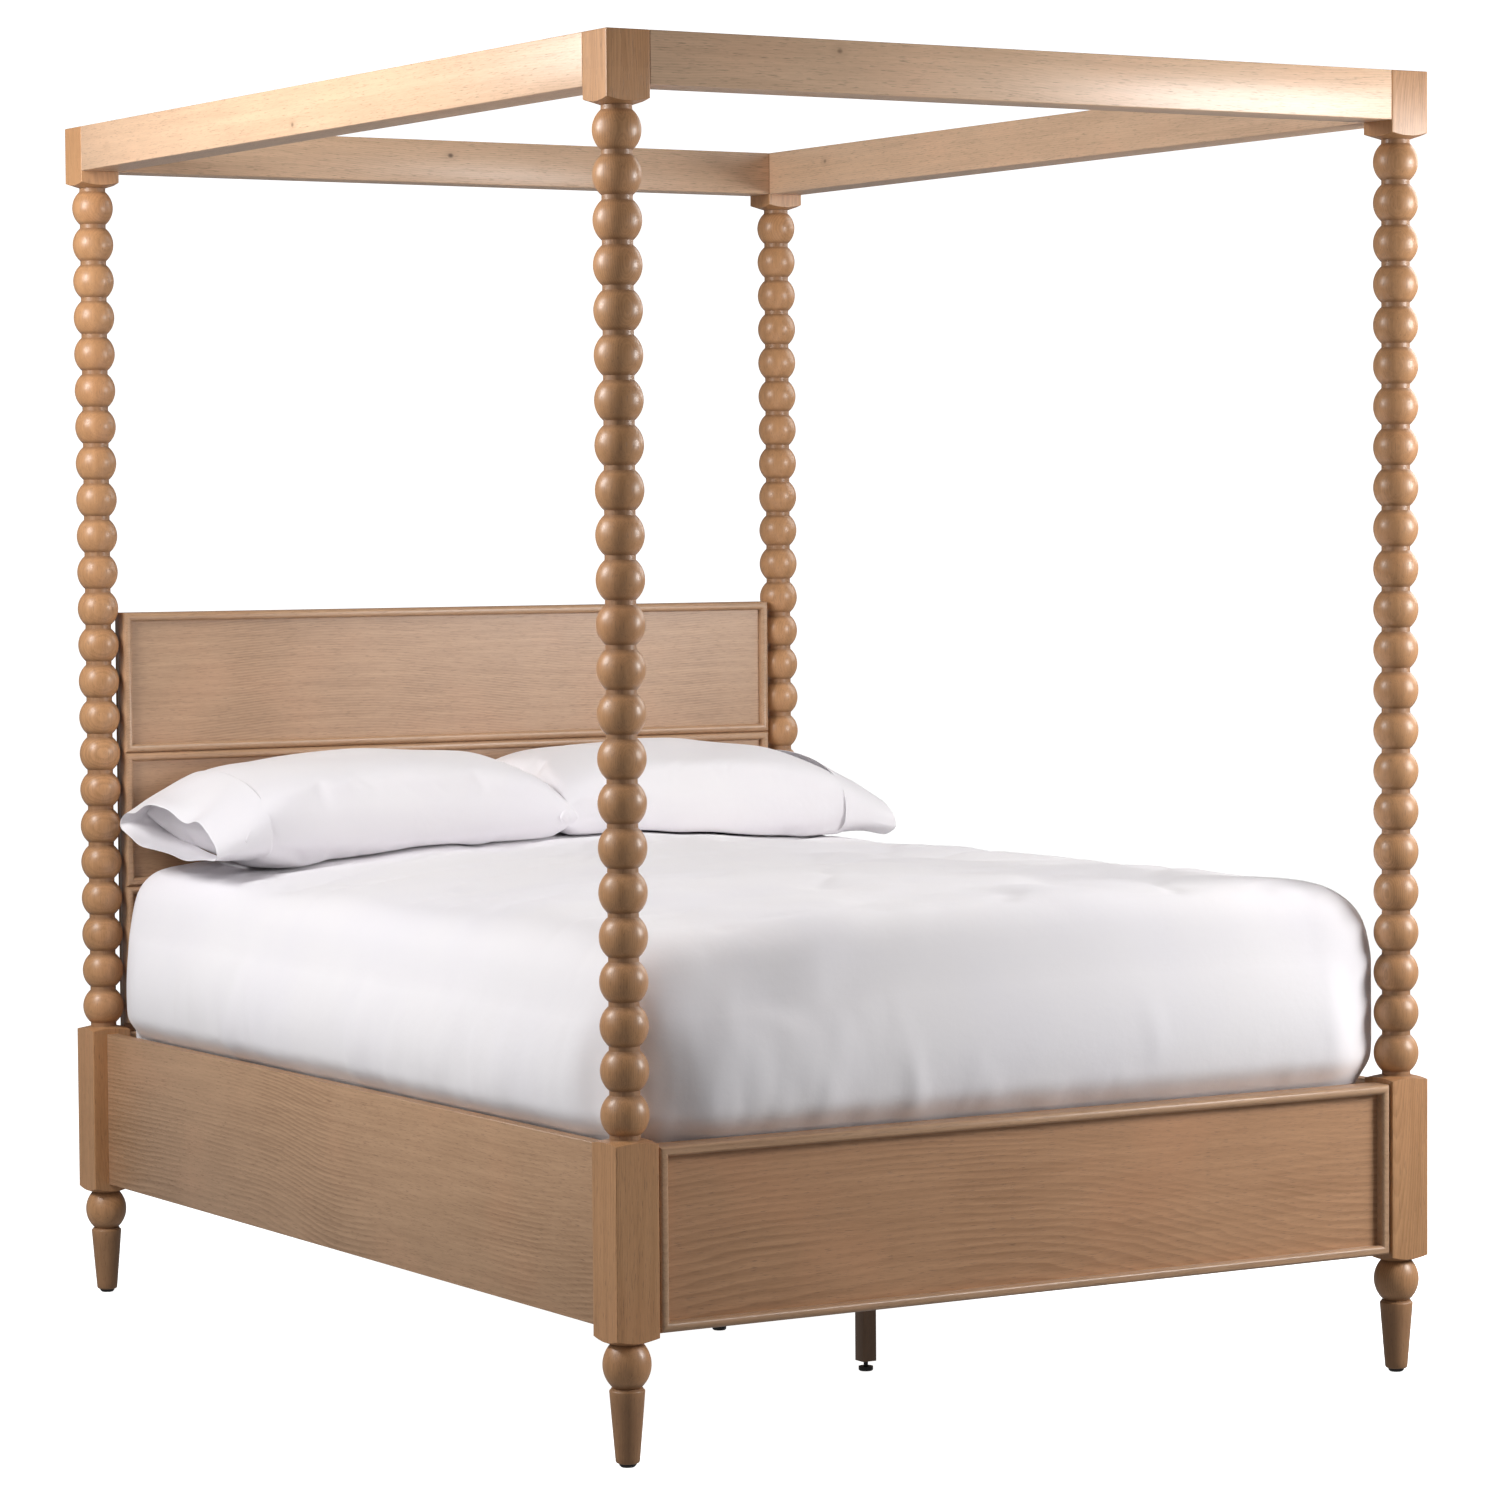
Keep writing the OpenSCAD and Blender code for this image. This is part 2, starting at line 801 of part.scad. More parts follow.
module headboard_pin(side, bead) {
  start_x = headboard_w / 2 - pin_l / 2;
  translate([side * start_x, pin_y, post_z + first_bead_h + bead * bead_pitch])
    rotate([0, side * 90, 0])
      cylinder(d = pin_d, h = pin_l);
}

module headboard_pins() {
  color(steel)
    for (x = sides, bead = pin_beads)
      headboard_pin(x, bead);
}

module headboard_bolt_set() {
  back_y = headboard_frame_y + headboard_frame_t;
  shank_l = headboard_frame_t + side_rail_t - bolt_end_cover;
  for (x = sides, z = bolt_levels)
    translate([x * (headboard_w / 2 - headboard_frame_w / 2), back_y, z])
      rotate([90, 0, 0]) {
        cylinder(d = head_bolt_d, h = shank_l);
        translate([0, 0, -bolt_head_h])
          cylinder(d = bolt_head_d, h = bolt_head_h);
      }
}

module headboard_bolts() {
  color(steel)
    headboard_bolt_set();
}

// ---- slats, beam and legs ----

function slat_y(i) = slat_first_y + (i - 1) * slat_pitch;
function leg_y(i) = mattress_y + (i / (leg_count + 1) - 0.5) * inner_l;

module slat_screw_holes() {
  for (i = [1:slat_count], x = sides)
    translate([x * slat_screw_x, slat_y(i), slat_top_z])
      countersunk(slat_screw_d, slat_screw_l);
}

module slat(i) {
  color(pale_wood)
    difference() {
      translate([0, slat_y(i), slat_bottom_z])
        block([slat_l, slat_w, slat_t]);
      for (x = sides)
        translate([x * slat_screw_x, slat_y(i), slat_top_z])
          countersunk(slat_screw_d, slat_screw_l);
    }
}

module slat_screws() {
  color(steel)
    slat_screw_holes();
}

module centre_beam() {
  color(pale_wood)
    difference() {
      translate([0, beam_start_y + beam_l / 2, beam_bottom_z])
        block([beam_w, beam_l, beam_h]);
      for (i = [1:leg_count])
        translate([0, leg_y(i), beam_bottom_z])
          cylinder(d = leg_tenon_d, h = leg_tenon_l);
    }
}

// Steel stirrup under each end of the beam, with a flange on the board behind it
module beam_hangers() {
  flange_w = beam_w + 2 * hanger_flange_w;
  color(steel)
    for (end = [0, 1])
      translate([0, end == 0 ? footboard_back_y : head_rail_y, beam_bottom_z - hanger_t])
        scale_y(end == 0 ? 1 : -1) {
          translate([0, hanger_t / 2, 0])
            block([flange_w, hanger_t, hanger_h]);
          translate([0, hanger_l / 2, 0])
            block([beam_w + 2 * hanger_t, hanger_l, hanger_t]);
          for (x = sides)
            translate([x * (beam_w + hanger_t) / 2, hanger_l / 2, 0])
              block([hanger_t, hanger_l, hanger_h - hanger_cheek_drop]);
        }
}

module centre_leg(i) {
  color(dark_stain)
    translate([0, leg_y(i), 0])
      difference() {
        union() {
          translate([0, 0, leg_bottom_z])
            block([leg_w, leg_w, beam_bottom_z - leg_bottom_z]);
          translate([0, 0, beam_bottom_z])
            cylinder(d = leg_tenon_d, h = leg_tenon_l);
        }
        translate([0, 0, leg_bottom_z])
          cylinder(d = insert_d, h = insert_l);
        cylinder(d = stem_d + 2 * socket_clearance, h = leg_bottom_z + leg_socket_h);
      }
}

module leveller(i) {
  color(black_plastic)
    translate([0, leg_y(i), 0]) {
      cylinder(d1 = pad_d - 2 * pad_bevel, d2 = pad_d, h = pad_bevel);
      translate([0, 0, pad_bevel])
        cylinder(d = pad_d, h = pad_h - pad_bevel);
      translate([0, 0, pad_h])
        cylinder(d = stem_d, h = stem_l);
    }
}

module leveller_inserts() {
  color(steel)
    for (i = [1:leg_count])
      translate([0, leg_y(i), leg_bottom_z])
        difference() {
          cylinder(d = insert_d, h = insert_l);
          translate([0, 0, -cut])
            cylinder(d = stem_d + 2 * stem_clearance, h = insert_l + 2 * cut);
        }
}

// ---- post hardware ----

module post_glides() {
  color(black_plastic)
    for (corner = corners)
      at_post(corner) {
        cylinder(d1 = glide_d - 2 * glide_bevel, d2 = glide_d, h = glide_h / 2);
        translate([0, 0, glide_h / 2])
          cylinder(d = glide_d, h = glide_h / 2);
        translate([0, 0, glide_h])
          cylinder(d = glide_nail_d, h = glide_nail_l);
      }
}

module post_studs() {
  color(steel)
    for (corner = corners)
      at_post(corner)
        translate([0, 0, post_z - stud_l / 2])
          cylinder(d = stud_d, h = stud_l);
}

module post_bushes() {
  color(steel)
    for (corner = corners)
      at_post(corner)
        translate([0, 0, post_z])
          difference() {
            cylinder(d = bush_d, h = bush_l);
            translate([0, 0, -cut])
              cylinder(d = stud_d + 2 * stud_clearance, h = bush_l + 2 * cut);
          }
}

module hook_plates() {
  color(steel)
    at_rail_ends()
      hook_plate();
}

module slot_plates() {
  color(steel)
    at_rail_ends()
      slot_plate();
}

module plate_screws() {
  color(steel)
    at_rail_ends()
      for (level = plate_screw_levels)
        translate([0, 0, level]) {
          rotate([-90, 0, 0])
            countersunk(screw_d, screw_l);
          rotate([90, 0, 0])
            countersunk(screw_d, screw_l);
        }
}

// ---- bedding ----

module mattress() {
  color(linen)
    translate([0, mattress_y, slat_top_z])
      linear_extrude(mattress_h)
        rounded_rect(mattress_w, mattress_l, mattress_r);
}

// Radius of an arc that rises by rise over a chord of length span
function crown_radius(span, rise) = pow(span, 2) / (8 * rise) + rise / 2;

// Space that the soft pieces leave around each post
module post_keep_out(margin) {
  for (corner = corners)
    at_post(corner) {
      block([block_w + 2 * margin, block_w + 2 * margin, post_z + margin]);
      cylinder(d = bead_d + 2 * margin, h = top_z);
    }
}

// Duvet over the mattress, hanging down the sides and the foot to the top of the rails
module duvet() {
  outer_w = mattress_w + 2 * duvet_drop_t;
  foot_y = mattress_y - mattress_l / 2 - duvet_drop_t;
  outer_l = duvet_head_y - foot_y;
  color(linen)
    difference() {
      translate([0, foot_y + outer_l / 2, duvet_start_z])
        linear_extrude(duvet_top_z - duvet_start_z)
          rounded_rect(outer_w, outer_l, mattress_r + duvet_drop_t / 2);
      translate([0, mattress_y + head_opening, slat_top_z])
        linear_extrude(mattress_h + soft_gap)
          rounded_rect(
            mattress_w + 2 * soft_gap,
            mattress_l + 2 * head_opening + 2 * soft_gap,
            mattress_r + soft_gap
          );
      post_keep_out(post_margin);
    }
}

// Plump pillow: a rounded slab crowned by two crossed cylinders above and below
module pillow(side) {
  color(linen)
    translate([side * pillow_x, pillow_y, duvet_top_z + soft_gap])
      intersection() {
        linear_extrude(pillow_h)
          rounded_rect(pillow_l, pillow_w, soft_corner_r);
        translate([0, 0, pillow_h - pillow_crown_r])
          rotate([0, 90, 0])
            cylinder(r = pillow_crown_r, h = 2 * pillow_l, center = true, $fn = 180);
        translate([0, 0, pillow_h + pillow_end_lift - pillow_end_r])
          rotate([90, 0, 0])
            cylinder(r = pillow_end_r, h = 2 * pillow_w, center = true, $fn = 240);
      }
}

for (i = [0:3]) {
  base_post(corners[i]);
  upper_post(corners[i]);
}
for (i = [0:1]) {
  side_rail(sides[i]);
  ledger(sides[i]);
  canopy_side_rail(sides[i]);
  pillow(sides[i]);
}
for (i = [0:2]) {
  headboard_panel(i);
  headboard_moulding(i);
}
for (i = [1:slat_count]) {
  slat(i);
}
for (i = [1:leg_count]) {
  centre_leg(i);
  leveller(i);
}
canopy_cross_rail(-1);  // canopy_rail_foot
canopy_cross_rail(1);  // canopy_rail_head
head_rail();
footboard_back();
footboard_panel();
footboard_moulding();
headboard_frame();
headboard_pins();
headboard_bolts();
centre_beam();
beam_hangers();
leveller_inserts();
post_glides();
post_studs();
post_bushes();
canopy_pegs();
hook_plates();
slot_plates();
plate_screws();
slat_screws();
mattress();
duvet();
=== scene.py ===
"""Four poster canopy bed: turned posts, eased boards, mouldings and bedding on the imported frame."""

import math

import bmesh
import bpy
import numpy as np
from mathutils import Euler, Matrix, Vector, noise
from mathutils.bvhtree import BVHTree


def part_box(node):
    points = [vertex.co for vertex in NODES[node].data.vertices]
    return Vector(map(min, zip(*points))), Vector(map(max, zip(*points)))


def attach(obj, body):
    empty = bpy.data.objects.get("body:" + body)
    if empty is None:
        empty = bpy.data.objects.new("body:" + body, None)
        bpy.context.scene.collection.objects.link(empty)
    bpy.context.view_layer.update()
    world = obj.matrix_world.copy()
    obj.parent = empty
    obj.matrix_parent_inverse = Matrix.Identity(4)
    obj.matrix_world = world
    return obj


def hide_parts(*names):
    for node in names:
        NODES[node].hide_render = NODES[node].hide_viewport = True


bl_info = {
    "name": "Four Poster Canopy Bed",
    "version": (1, 0, 0),
    "blender": (4, 5, 0),
    "location": "3D View > Sidebar > Canopy Bed",
    "description": "Builds the wood, hardware and bedding of a canopy bed around its packed frame",
    "category": "Object",
}

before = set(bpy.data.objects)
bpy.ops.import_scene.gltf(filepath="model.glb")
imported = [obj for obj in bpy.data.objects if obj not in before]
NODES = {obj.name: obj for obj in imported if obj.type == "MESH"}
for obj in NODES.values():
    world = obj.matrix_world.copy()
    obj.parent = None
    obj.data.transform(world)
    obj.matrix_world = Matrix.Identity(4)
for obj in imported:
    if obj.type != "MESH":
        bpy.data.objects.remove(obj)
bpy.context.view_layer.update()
BED = "bed"

CORNERS = {"foot_left": (-1, -1), "foot_right": (1, -1), "head_left": (-1, 1), "head_right": (1, 1)}
PANELS = ("lower", "middle", "top")


def middle(node):
    """Centre of a node's box."""
    low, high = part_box(node)
    return (low + high) / 2


POST_X = middle("upper_post_foot_right").x
POST_Y = middle("upper_post_head_right").y
BLOCK_HALF = (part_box("upper_post_foot_right")[1].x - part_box("upper_post_foot_right")[0].x) / 2
POST_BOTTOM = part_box("upper_post_foot_right")[0].z
BED_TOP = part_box("upper_post_foot_right")[1].z
RAIL_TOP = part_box("side_rail_left")[1].z
SHOULDER = 0.007
BLOCK_TALL = 0.311
TOP_BLOCK_TALL = 0.107
TAPER_TALL = 0.119
MATTRESS_LOW, MATTRESS_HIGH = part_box("mattress")
DUVET_LOW, DUVET_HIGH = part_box("duvet")


# ---- sizes and colours a user would change ----

class PostSizes(bpy.types.PropertyGroup):
    bead_count: bpy.props.IntProperty(
        name="Beads", description="Number of beads turned on each post", default=23, min=4)
    bead_pitch: bpy.props.FloatProperty(
        name="Bead pitch", description="Distance from one bead to the next",
        default=0.071, unit="LENGTH", precision=4)
    bead_tall: bpy.props.FloatProperty(
        name="Bead roundness", description="Height of a bead's outline over its width",
        default=1.04, min=0.9, max=1.2)
    neck_radius: bpy.props.FloatProperty(
        name="Neck radius", description="Radius of the neck between two beads",
        default=0.025, unit="LENGTH", precision=4)
    shoulder: bpy.props.FloatProperty(
        name="Shoulder", description="Height of the turned shoulders on the blocks",
        default=0.010, unit="LENGTH", precision=4)
    arris: bpy.props.FloatProperty(
        name="Block arris", description="Radius of the eased corners of the blocks",
        default=0.0016, unit="LENGTH", precision=4)


class BoardSizes(bpy.types.PropertyGroup):
    arris: bpy.props.FloatProperty(
        name="Board arris", description="Width of the eased edges of rails and boards",
        default=0.0015, unit="LENGTH", precision=4)
    moulding_width: bpy.props.FloatProperty(
        name="Moulding width", description="Width of the rounded moulding around a panel",
        default=0.017, unit="LENGTH", precision=4)


class BeddingSizes(bpy.types.PropertyGroup):
    crown: bpy.props.FloatProperty(
        name="Crown", description="How far the middle of the duvet stands above its long sides",
        default=0.045, unit="LENGTH", precision=4)
    bulge: bpy.props.FloatProperty(
        name="Side bulge", description="How far the sides of the duvet swell past the mattress",
        default=0.040, unit="LENGTH", precision=4)
    pillow_crown: bpy.props.FloatProperty(
        name="Pillow crown", description="Height of a pillow at its middle",
        default=0.172, unit="LENGTH", precision=4)
    hem: bpy.props.FloatProperty(
        name="Case hem", description="How far a pillowcase runs past the end of its pillow",
        default=0.120, unit="LENGTH", precision=4)


class Finishes(bpy.types.PropertyGroup):
    oak_light: bpy.props.FloatVectorProperty(
        name="Oak, light", description="Colour of the light early wood",
        subtype="COLOR", size=3, min=0.0, max=1.0, default=(0.580, 0.362, 0.218))
    oak_dark: bpy.props.FloatVectorProperty(
        name="Oak, dark", description="Colour of the dark growth lines",
        subtype="COLOR", size=3, min=0.0, max=1.0, default=(0.320, 0.180, 0.096))
    # Glaze colour: real glaze in the pores and knots; in the necks of the turned posts it also paints shade
    glaze: bpy.props.FloatVectorProperty(
        name="Glaze", description="Colour of the glaze left in grooves and pores",
        subtype="COLOR", size=3, min=0.0, max=1.0, default=(0.120, 0.062, 0.034))
    pine: bpy.props.FloatVectorProperty(
        name="Pine", description="Colour of the unfinished slats and ledgers",
        subtype="COLOR", size=3, min=0.0, max=1.0, default=(0.620, 0.470, 0.300))
    stain: bpy.props.FloatVectorProperty(
        name="Dark stain", description="Colour of the stained centre legs",
        subtype="COLOR", size=3, min=0.0, max=1.0, default=(0.270, 0.160, 0.094))
    cotton: bpy.props.FloatVectorProperty(
        name="Cotton", description="Colour of the duvet and pillowcases",
        subtype="COLOR", size=3, min=0.0, max=1.0, default=(0.890, 0.862, 0.880))


class StudioSizes(bpy.types.PropertyGroup):
    lens: bpy.props.FloatProperty(
        name="Lens", description="Focal length of the camera", default=114.26, subtype="DISTANCE_CAMERA")
    key: bpy.props.FloatProperty(
        name="Key light", description="Power of the near light high on the left", default=74.0,
        subtype="POWER")
    side: bpy.props.FloatProperty(
        name="Side light", description="Power of the large soft light on the left", default=46.0,
        subtype="POWER")
    front: bpy.props.FloatProperty(
        name="Front light", description="Power of the near light by the right foot", default=95.0,
        subtype="POWER")
    fill: bpy.props.FloatProperty(
        name="Fill light", description="Power of the large soft light on the right", default=92.0,
        subtype="POWER")
    sky: bpy.props.FloatProperty(
        name="Sky", description="Strength of the even light from above", default=0.13)
    ground: bpy.props.FloatProperty(
        name="Ground", description="Strength of the even light from below", default=0.27)
    floor_glow: bpy.props.FloatProperty(
        name="Floor glow", description="Light given off by the floor, as a lit floor would", default=1.0)
    floor: bpy.props.FloatVectorProperty(
        name="Floor", description="Colour of the floor and backdrop",
        subtype="COLOR", size=3, min=0.0, max=1.0, default=(0.93, 0.93, 0.93))


class CanopyBed(bpy.types.PropertyGroup):
    posts: bpy.props.PointerProperty(type=PostSizes, name="Posts", description="Sizes of the posts")
    boards: bpy.props.PointerProperty(type=BoardSizes, name="Boards", description="Sizes of the boards")
    bedding: bpy.props.PointerProperty(
        type=BeddingSizes, name="Bedding", description="Sizes of the duvet and pillows")
    finishes: bpy.props.PointerProperty(
        type=Finishes, name="Finishes", description="Colours of the wood and cloth")
    studio: bpy.props.PointerProperty(
        type=StudioSizes, name="Studio", description="Camera and lights")


def settings():
    return bpy.context.scene.canopy_bed


# ---- finishes ----

class Number:
    """A socket that carries one number. Sums on it add Math nodes."""

    def __init__(self, finish, socket):
        self.finish = finish
        self.socket = socket

    def _sum(self, operation, *values):
        sockets = {i: v for i, v in enumerate(values)}
        return self.finish.number("Math", {"operation": operation}, sockets)

    def __add__(self, other):
        return self._sum("ADD", self, other)

    __radd__ = __add__

    def __sub__(self, other):
        return self._sum("SUBTRACT", self, other)

    def __rsub__(self, other):
        return self._sum("SUBTRACT", other, self)

    def __mul__(self, other):
        return self._sum("MULTIPLY", self, other)

    __rmul__ = __mul__

    def __truediv__(self, other):
        return self._sum("DIVIDE", self, other)

    def __rtruediv__(self, other):
        return self._sum("DIVIDE", other, self)

    def __abs__(self):
        return self._sum("ABSOLUTE", self)

    def __pow__(self, other):
        return self._sum("POWER", self, other)

    def fold(self, operation, *others):
        """Any one-line Math operation by name, such as FRACT or SINE."""
        return self._sum(operation, self, *others)

    def between(self, start, end):
        """0 below start, 1 above end, smooth in between; start may be the larger."""
        return self.finish.number(
            "MapRange", {"interpolation_type": "SMOOTHSTEP"},
            {"Value": self, "From Min": start, "From Max": end, "To Min": 0.0, "To Max": 1.0})


class Finish:
    """A material under construction, or the studio's sky when it is given a node tree."""

    def __init__(self, name, tree=None):
        if tree is None:
            self.material = bpy.data.materials.new(name)
            self.material.use_nodes = True
            tree = self.material.node_tree
        self.tree = tree
        self.tree.nodes.clear()
        self.coords = self.add("TexCoord").outputs["Object"]
        split = self.add("SeparateXYZ", sockets={"Vector": self.coords})
        self.x, self.y, self.z = (Number(self, split.outputs[axis]) for axis in "XYZ")

    def add(self, kind, settings=None, sockets=None):
        """One node: its settings are set first, then its sockets are given values or links."""
        node = self.tree.nodes.new("ShaderNode" + kind)
        for name, value in (settings or {}).items():
            if name == "stops":
                ramp = node.color_ramp
                while len(ramp.elements) < len(value):
                    ramp.elements.new(0.5)
                for element, (place, colour) in zip(ramp.elements, value):
                    element.position = place
                    element.color = (*colour, 1.0)
            else:
                setattr(node, name, value)
        for name, value in (sockets or {}).items():
            self.join(value, node.inputs[name])
        return node

    def join(self, value, socket):
        if isinstance(value, Number):
            self.tree.links.new(value.socket, socket)
        elif isinstance(value, bpy.types.NodeSocket):
            self.tree.links.new(value, socket)
        else:
            if hasattr(value, "__len__"):
                value = tuple(value)
                if socket.type == "RGBA" and len(value) == 3:
                    value = (*value, 1.0)
            socket.default_value = value

    def number(self, kind, settings=None, sockets=None, out=0):
        return Number(self, self.add(kind, settings, sockets).outputs[out])

    def vector(self, x, y, z):
        return self.add("CombineXYZ", sockets={"X": x, "Y": y, "Z": z}).outputs[0]

    def cloud(self, place, scale, detail=2.0, roughness=0.5):
        """Noise from 0 to 1 at a place."""
        return self.number(
            "TexNoise", {"noise_dimensions": "3D"},
            {"Vector": place, "Scale": scale, "Detail": detail, "Roughness": roughness}, out="Fac")

    def mix(self, share, first, second, blend="MIX"):
        """Colour between first and second."""
        node = self.add("Mix", {"data_type": "RGBA", "blend_type": blend}, {0: share})
        self.join(first, node.inputs[6])
        self.join(second, node.inputs[7])
        return node.outputs[2]

    def bump(self, height, distance, strength=1.0):
        return self.add(
            "Bump", sockets={"Height": height, "Distance": distance, "Strength": strength}).outputs[0]

    def surface(self, sockets):
        shader = self.add("BsdfPrincipled", sockets=sockets)
        output = self.add("OutputMaterial")
        self.tree.links.new(shader.outputs[0], output.inputs[0])
        return self.material


WOODS = {}


def scaled(colour, red, green, blue):
    """A colour with each of its channels scaled."""
    return (colour[0] * red, colour[1] * green, colour[2] * blue)


def wood(along, tint="oak", seed=0.0, figure=1.0, knots=0.0, turned=False):
    """Lacquered wood with its grain along one axis, solid through and through like the real thing."""
    key = (along, tint, seed, figure, knots, turned)
    if key in WOODS:
        return WOODS[key]
    colours = settings().finishes
    finish = Finish("_".join(("wood", tint, along.lower(), str(len(WOODS)))))
    axes = {"X": (finish.x, finish.y, finish.z), "Y": (finish.y, finish.z, finish.x),
            "Z": (finish.z, finish.x, finish.y)}
    length, side, depth = axes[along]
    place = finish.vector(length * 1.0 + seed, side * 1.0 + 2.7 * seed, depth * 1.0 - 1.3 * seed)
    stretch = finish.vector(length * 0.035 + seed, side + 0.37 * seed, depth - 0.51 * seed)

    # Growth rings around a pith that drifts slowly along the board
    drift = finish.cloud(finish.vector(length * 0.55 + seed, 0.0, seed), 1.0, 1.0)
    sink = finish.cloud(finish.vector(length * 0.75 - seed, 3.0, seed), 1.0, 1.0)
    feather = finish.cloud(finish.vector(length * 5.0 + seed, side * 26.0, depth * 26.0), 1.0, 2.0)
    centre_side = (drift - 0.5) * 0.16
    centre_depth = (sink - 0.5) * 0.22 + 0.035
    if turned:
        side = abs(side) - (POST_X if along == "Z" else 0.0)
        depth = abs(depth) - (POST_Y if along == "Z" else 0.0)
    ring_side = side - centre_side + 0.013 * seed
    ring_depth = depth - centre_depth
    distance = (ring_side * ring_side + ring_depth * ring_depth) ** 0.5
    phase = distance * 260.0 + feather * 1.5
    ring = phase.fold("FRACT")
    rise = ring.between(0.05, 0.85)
    fall = ring.between(1.0, 0.86)
    late_wood = rise * fall

    # Fine straight streaks and short dark pores
    streaks = finish.cloud(stretch, 95.0, 4.0, 0.62)
    hair = finish.cloud(finish.vector(length * 0.10 + seed, side, depth), 420.0, 2.0, 0.6)
    pores = finish.cloud(finish.vector(length * 0.055 + seed, side, depth), 900.0, 1.0, 0.5)
    pores = pores.between(0.60, 0.74)
    patches = finish.cloud(place, 2.3, 3.0, 0.55)
    clouding = finish.cloud(finish.vector(length * 0.5 + seed, side, depth), 11.0, 2.0, 0.5)

    lines = patches.between(0.40, 0.60) * (0.20 * figure) + 0.04
    tone = 0.62 + (streaks - 0.5) * 0.62 + (hair - 0.5) * 0.30 + (patches - 0.5) * 0.22
    tone = tone + (clouding - 0.5) * 0.20 - late_wood * lines
    light, dark = {
        "oak": (colours.oak_light, colours.oak_dark),
        # painted shade: "post" and "foot" are browner, more saturated copies of the oak, as the shaded posts
        # and footboard look
        "post": (scaled(colours.oak_light, 1.04, 0.90, 0.72), scaled(colours.oak_dark, 1.02, 0.86, 0.62)),
        "foot": (scaled(colours.oak_light, 1.02, 0.91, 0.82), scaled(colours.oak_dark, 1.0, 0.90, 0.80)),
        # painted light: "canopy" is a paler, lighter copy of the oak, as the lit, sheened canopy rails look
        "canopy": (scaled(colours.oak_light, 1.40, 1.52, 1.66), scaled(colours.oak_dark, 1.6, 1.8, 2.1)),
        "pine": (colours.pine, tuple(0.66 * c for c in colours.pine)),
        "stain": (colours.stain, tuple(0.45 * c for c in colours.stain)),
    }[tint]
    tone_range = tone.between(0.0, 1.0)
    colour = finish.mix(tone_range, tuple(dark), tuple(light))
    rosy = finish.cloud(finish.vector(length * 0.7 - seed, side, depth), 7.0, 2.0, 0.5)
    colour = finish.mix(rosy.between(0.45, 0.75) * 0.20, colour, scaled(light, 1.10, 0.94, 0.90))
    colour = finish.mix(pores * 0.42, colour, tuple(colours.glaze))
    rough = 0.40 + pores * 0.16 + (streaks - 0.5) * 0.10

    if knots:
        cell = finish.add(
            "TexVoronoi", {"feature": "F1"},
            {"Vector": finish.vector(length + seed, side * 1.4, depth * 1.4), "Scale": knots,
             "Randomness": 1.0})
        near = Number(finish, cell.outputs["Distance"])
        chance = finish.number("SeparateColor", {}, {"Color": cell.outputs["Color"]}).between(0.45, 0.50)
        knot = near.between(0.045, 0.015) * chance
        halo = near.between(0.13, 0.03) * chance
        colour = finish.mix(halo * 0.40, colour, tuple(dark))
        colour = finish.mix(knot * 0.85, colour, tuple(colours.glaze))

    if turned:
        # Each bead is its own tone, and the necks and grooves darken towards the glaze colour: partly glaze,
        # partly painted shade in the recesses
        reach = (side * side + depth * depth) ** 0.5
        neck = reach.between(0.0325, 0.0262)
        pitch = settings().posts.bead_pitch
        step = ((length - POST_BOTTOM) / pitch + 0.12).fold("FLOOR")
        side_sign = finish.x.fold("SIGN") * 3.1 + finish.y.fold("SIGN") * 1.7
        lot = finish.number(
            "TexWhiteNoise", {"noise_dimensions": "2D"},
            {"Vector": finish.vector(step, side_sign, 0.0)}, out="Value")
        tall = finish.z.between(POST_BOTTOM, POST_BOTTOM + 0.01)
        shade = (lot - 0.5) * 0.5 * tall
        colour = finish.mix(shade.between(0.0, 0.5) * 0.22, colour, tuple(c * 0.72 for c in light))
        paler = tuple(min(1, c * 1.10) for c in light)
        colour = finish.mix((shade * -1.0).between(0.0, 0.5) * 0.22, colour, paler)
        # painted shade: the necks darken towards the glaze colour, glaze together with the shade that falls
        # in the grooves
        colour = finish.mix(neck * 0.42, colour, tuple(colours.glaze))
        rough = rough + neck * 0.12

    height = (streaks * 0.5 + hair * 0.25 - pores * 0.9) * 1.0
    lacquer = {"pine": 0.0, "stain": 0.15}.get(tint, 0.30)
    material = finish.surface({
        "Base Color": colour,
        "Roughness": rough,
        "Coat Weight": lacquer,
        "Coat Roughness": 0.28,
        "Specular IOR Level": 0.42,
        "Normal": finish.bump(height, 0.00022, 0.55),
    })
    WOODS[key] = material
    return material


def cotton(name, tint, weave=2600.0):
    """Close white cotton with a fine weave and a little unevenness."""
    finish = Finish(name)
    x, y, z = finish.x, finish.y, finish.z
    warp = ((x + z * 0.35) * weave).fold("SINE")
    weft = ((y + z * 0.72) * weave).fold("SINE")
    threads = (warp * weft) * 0.5 + 0.5
    slub = finish.cloud(finish.vector(x * 0.25, y, z), 240.0, 3.0, 0.6)
    soft = finish.cloud(finish.coords, 3.0, 3.0, 0.5)
    crumple = finish.cloud(finish.coords, 16.0, 4.0, 0.55)
    cool = tuple(c * k for c, k in zip(tint, (0.955, 0.955, 0.985)))
    colour = finish.mix(soft.between(0.35, 0.70) * 0.6, tuple(tint), cool)
    colour = finish.mix(threads * 0.05, colour, tuple(0.86 * c for c in tint))
    height = threads * 0.00004 + slub * 0.00006 + crumple * 0.0016
    return finish.surface({
        "Base Color": colour,
        "Roughness": 0.82 + (slub - 0.5) * 0.12,
        "Specular IOR Level": 0.25,
        "Sheen Weight": 0.18,
        "Sheen Roughness": 0.45,
        "Normal": finish.bump(height, 1.0, 0.75),
    })


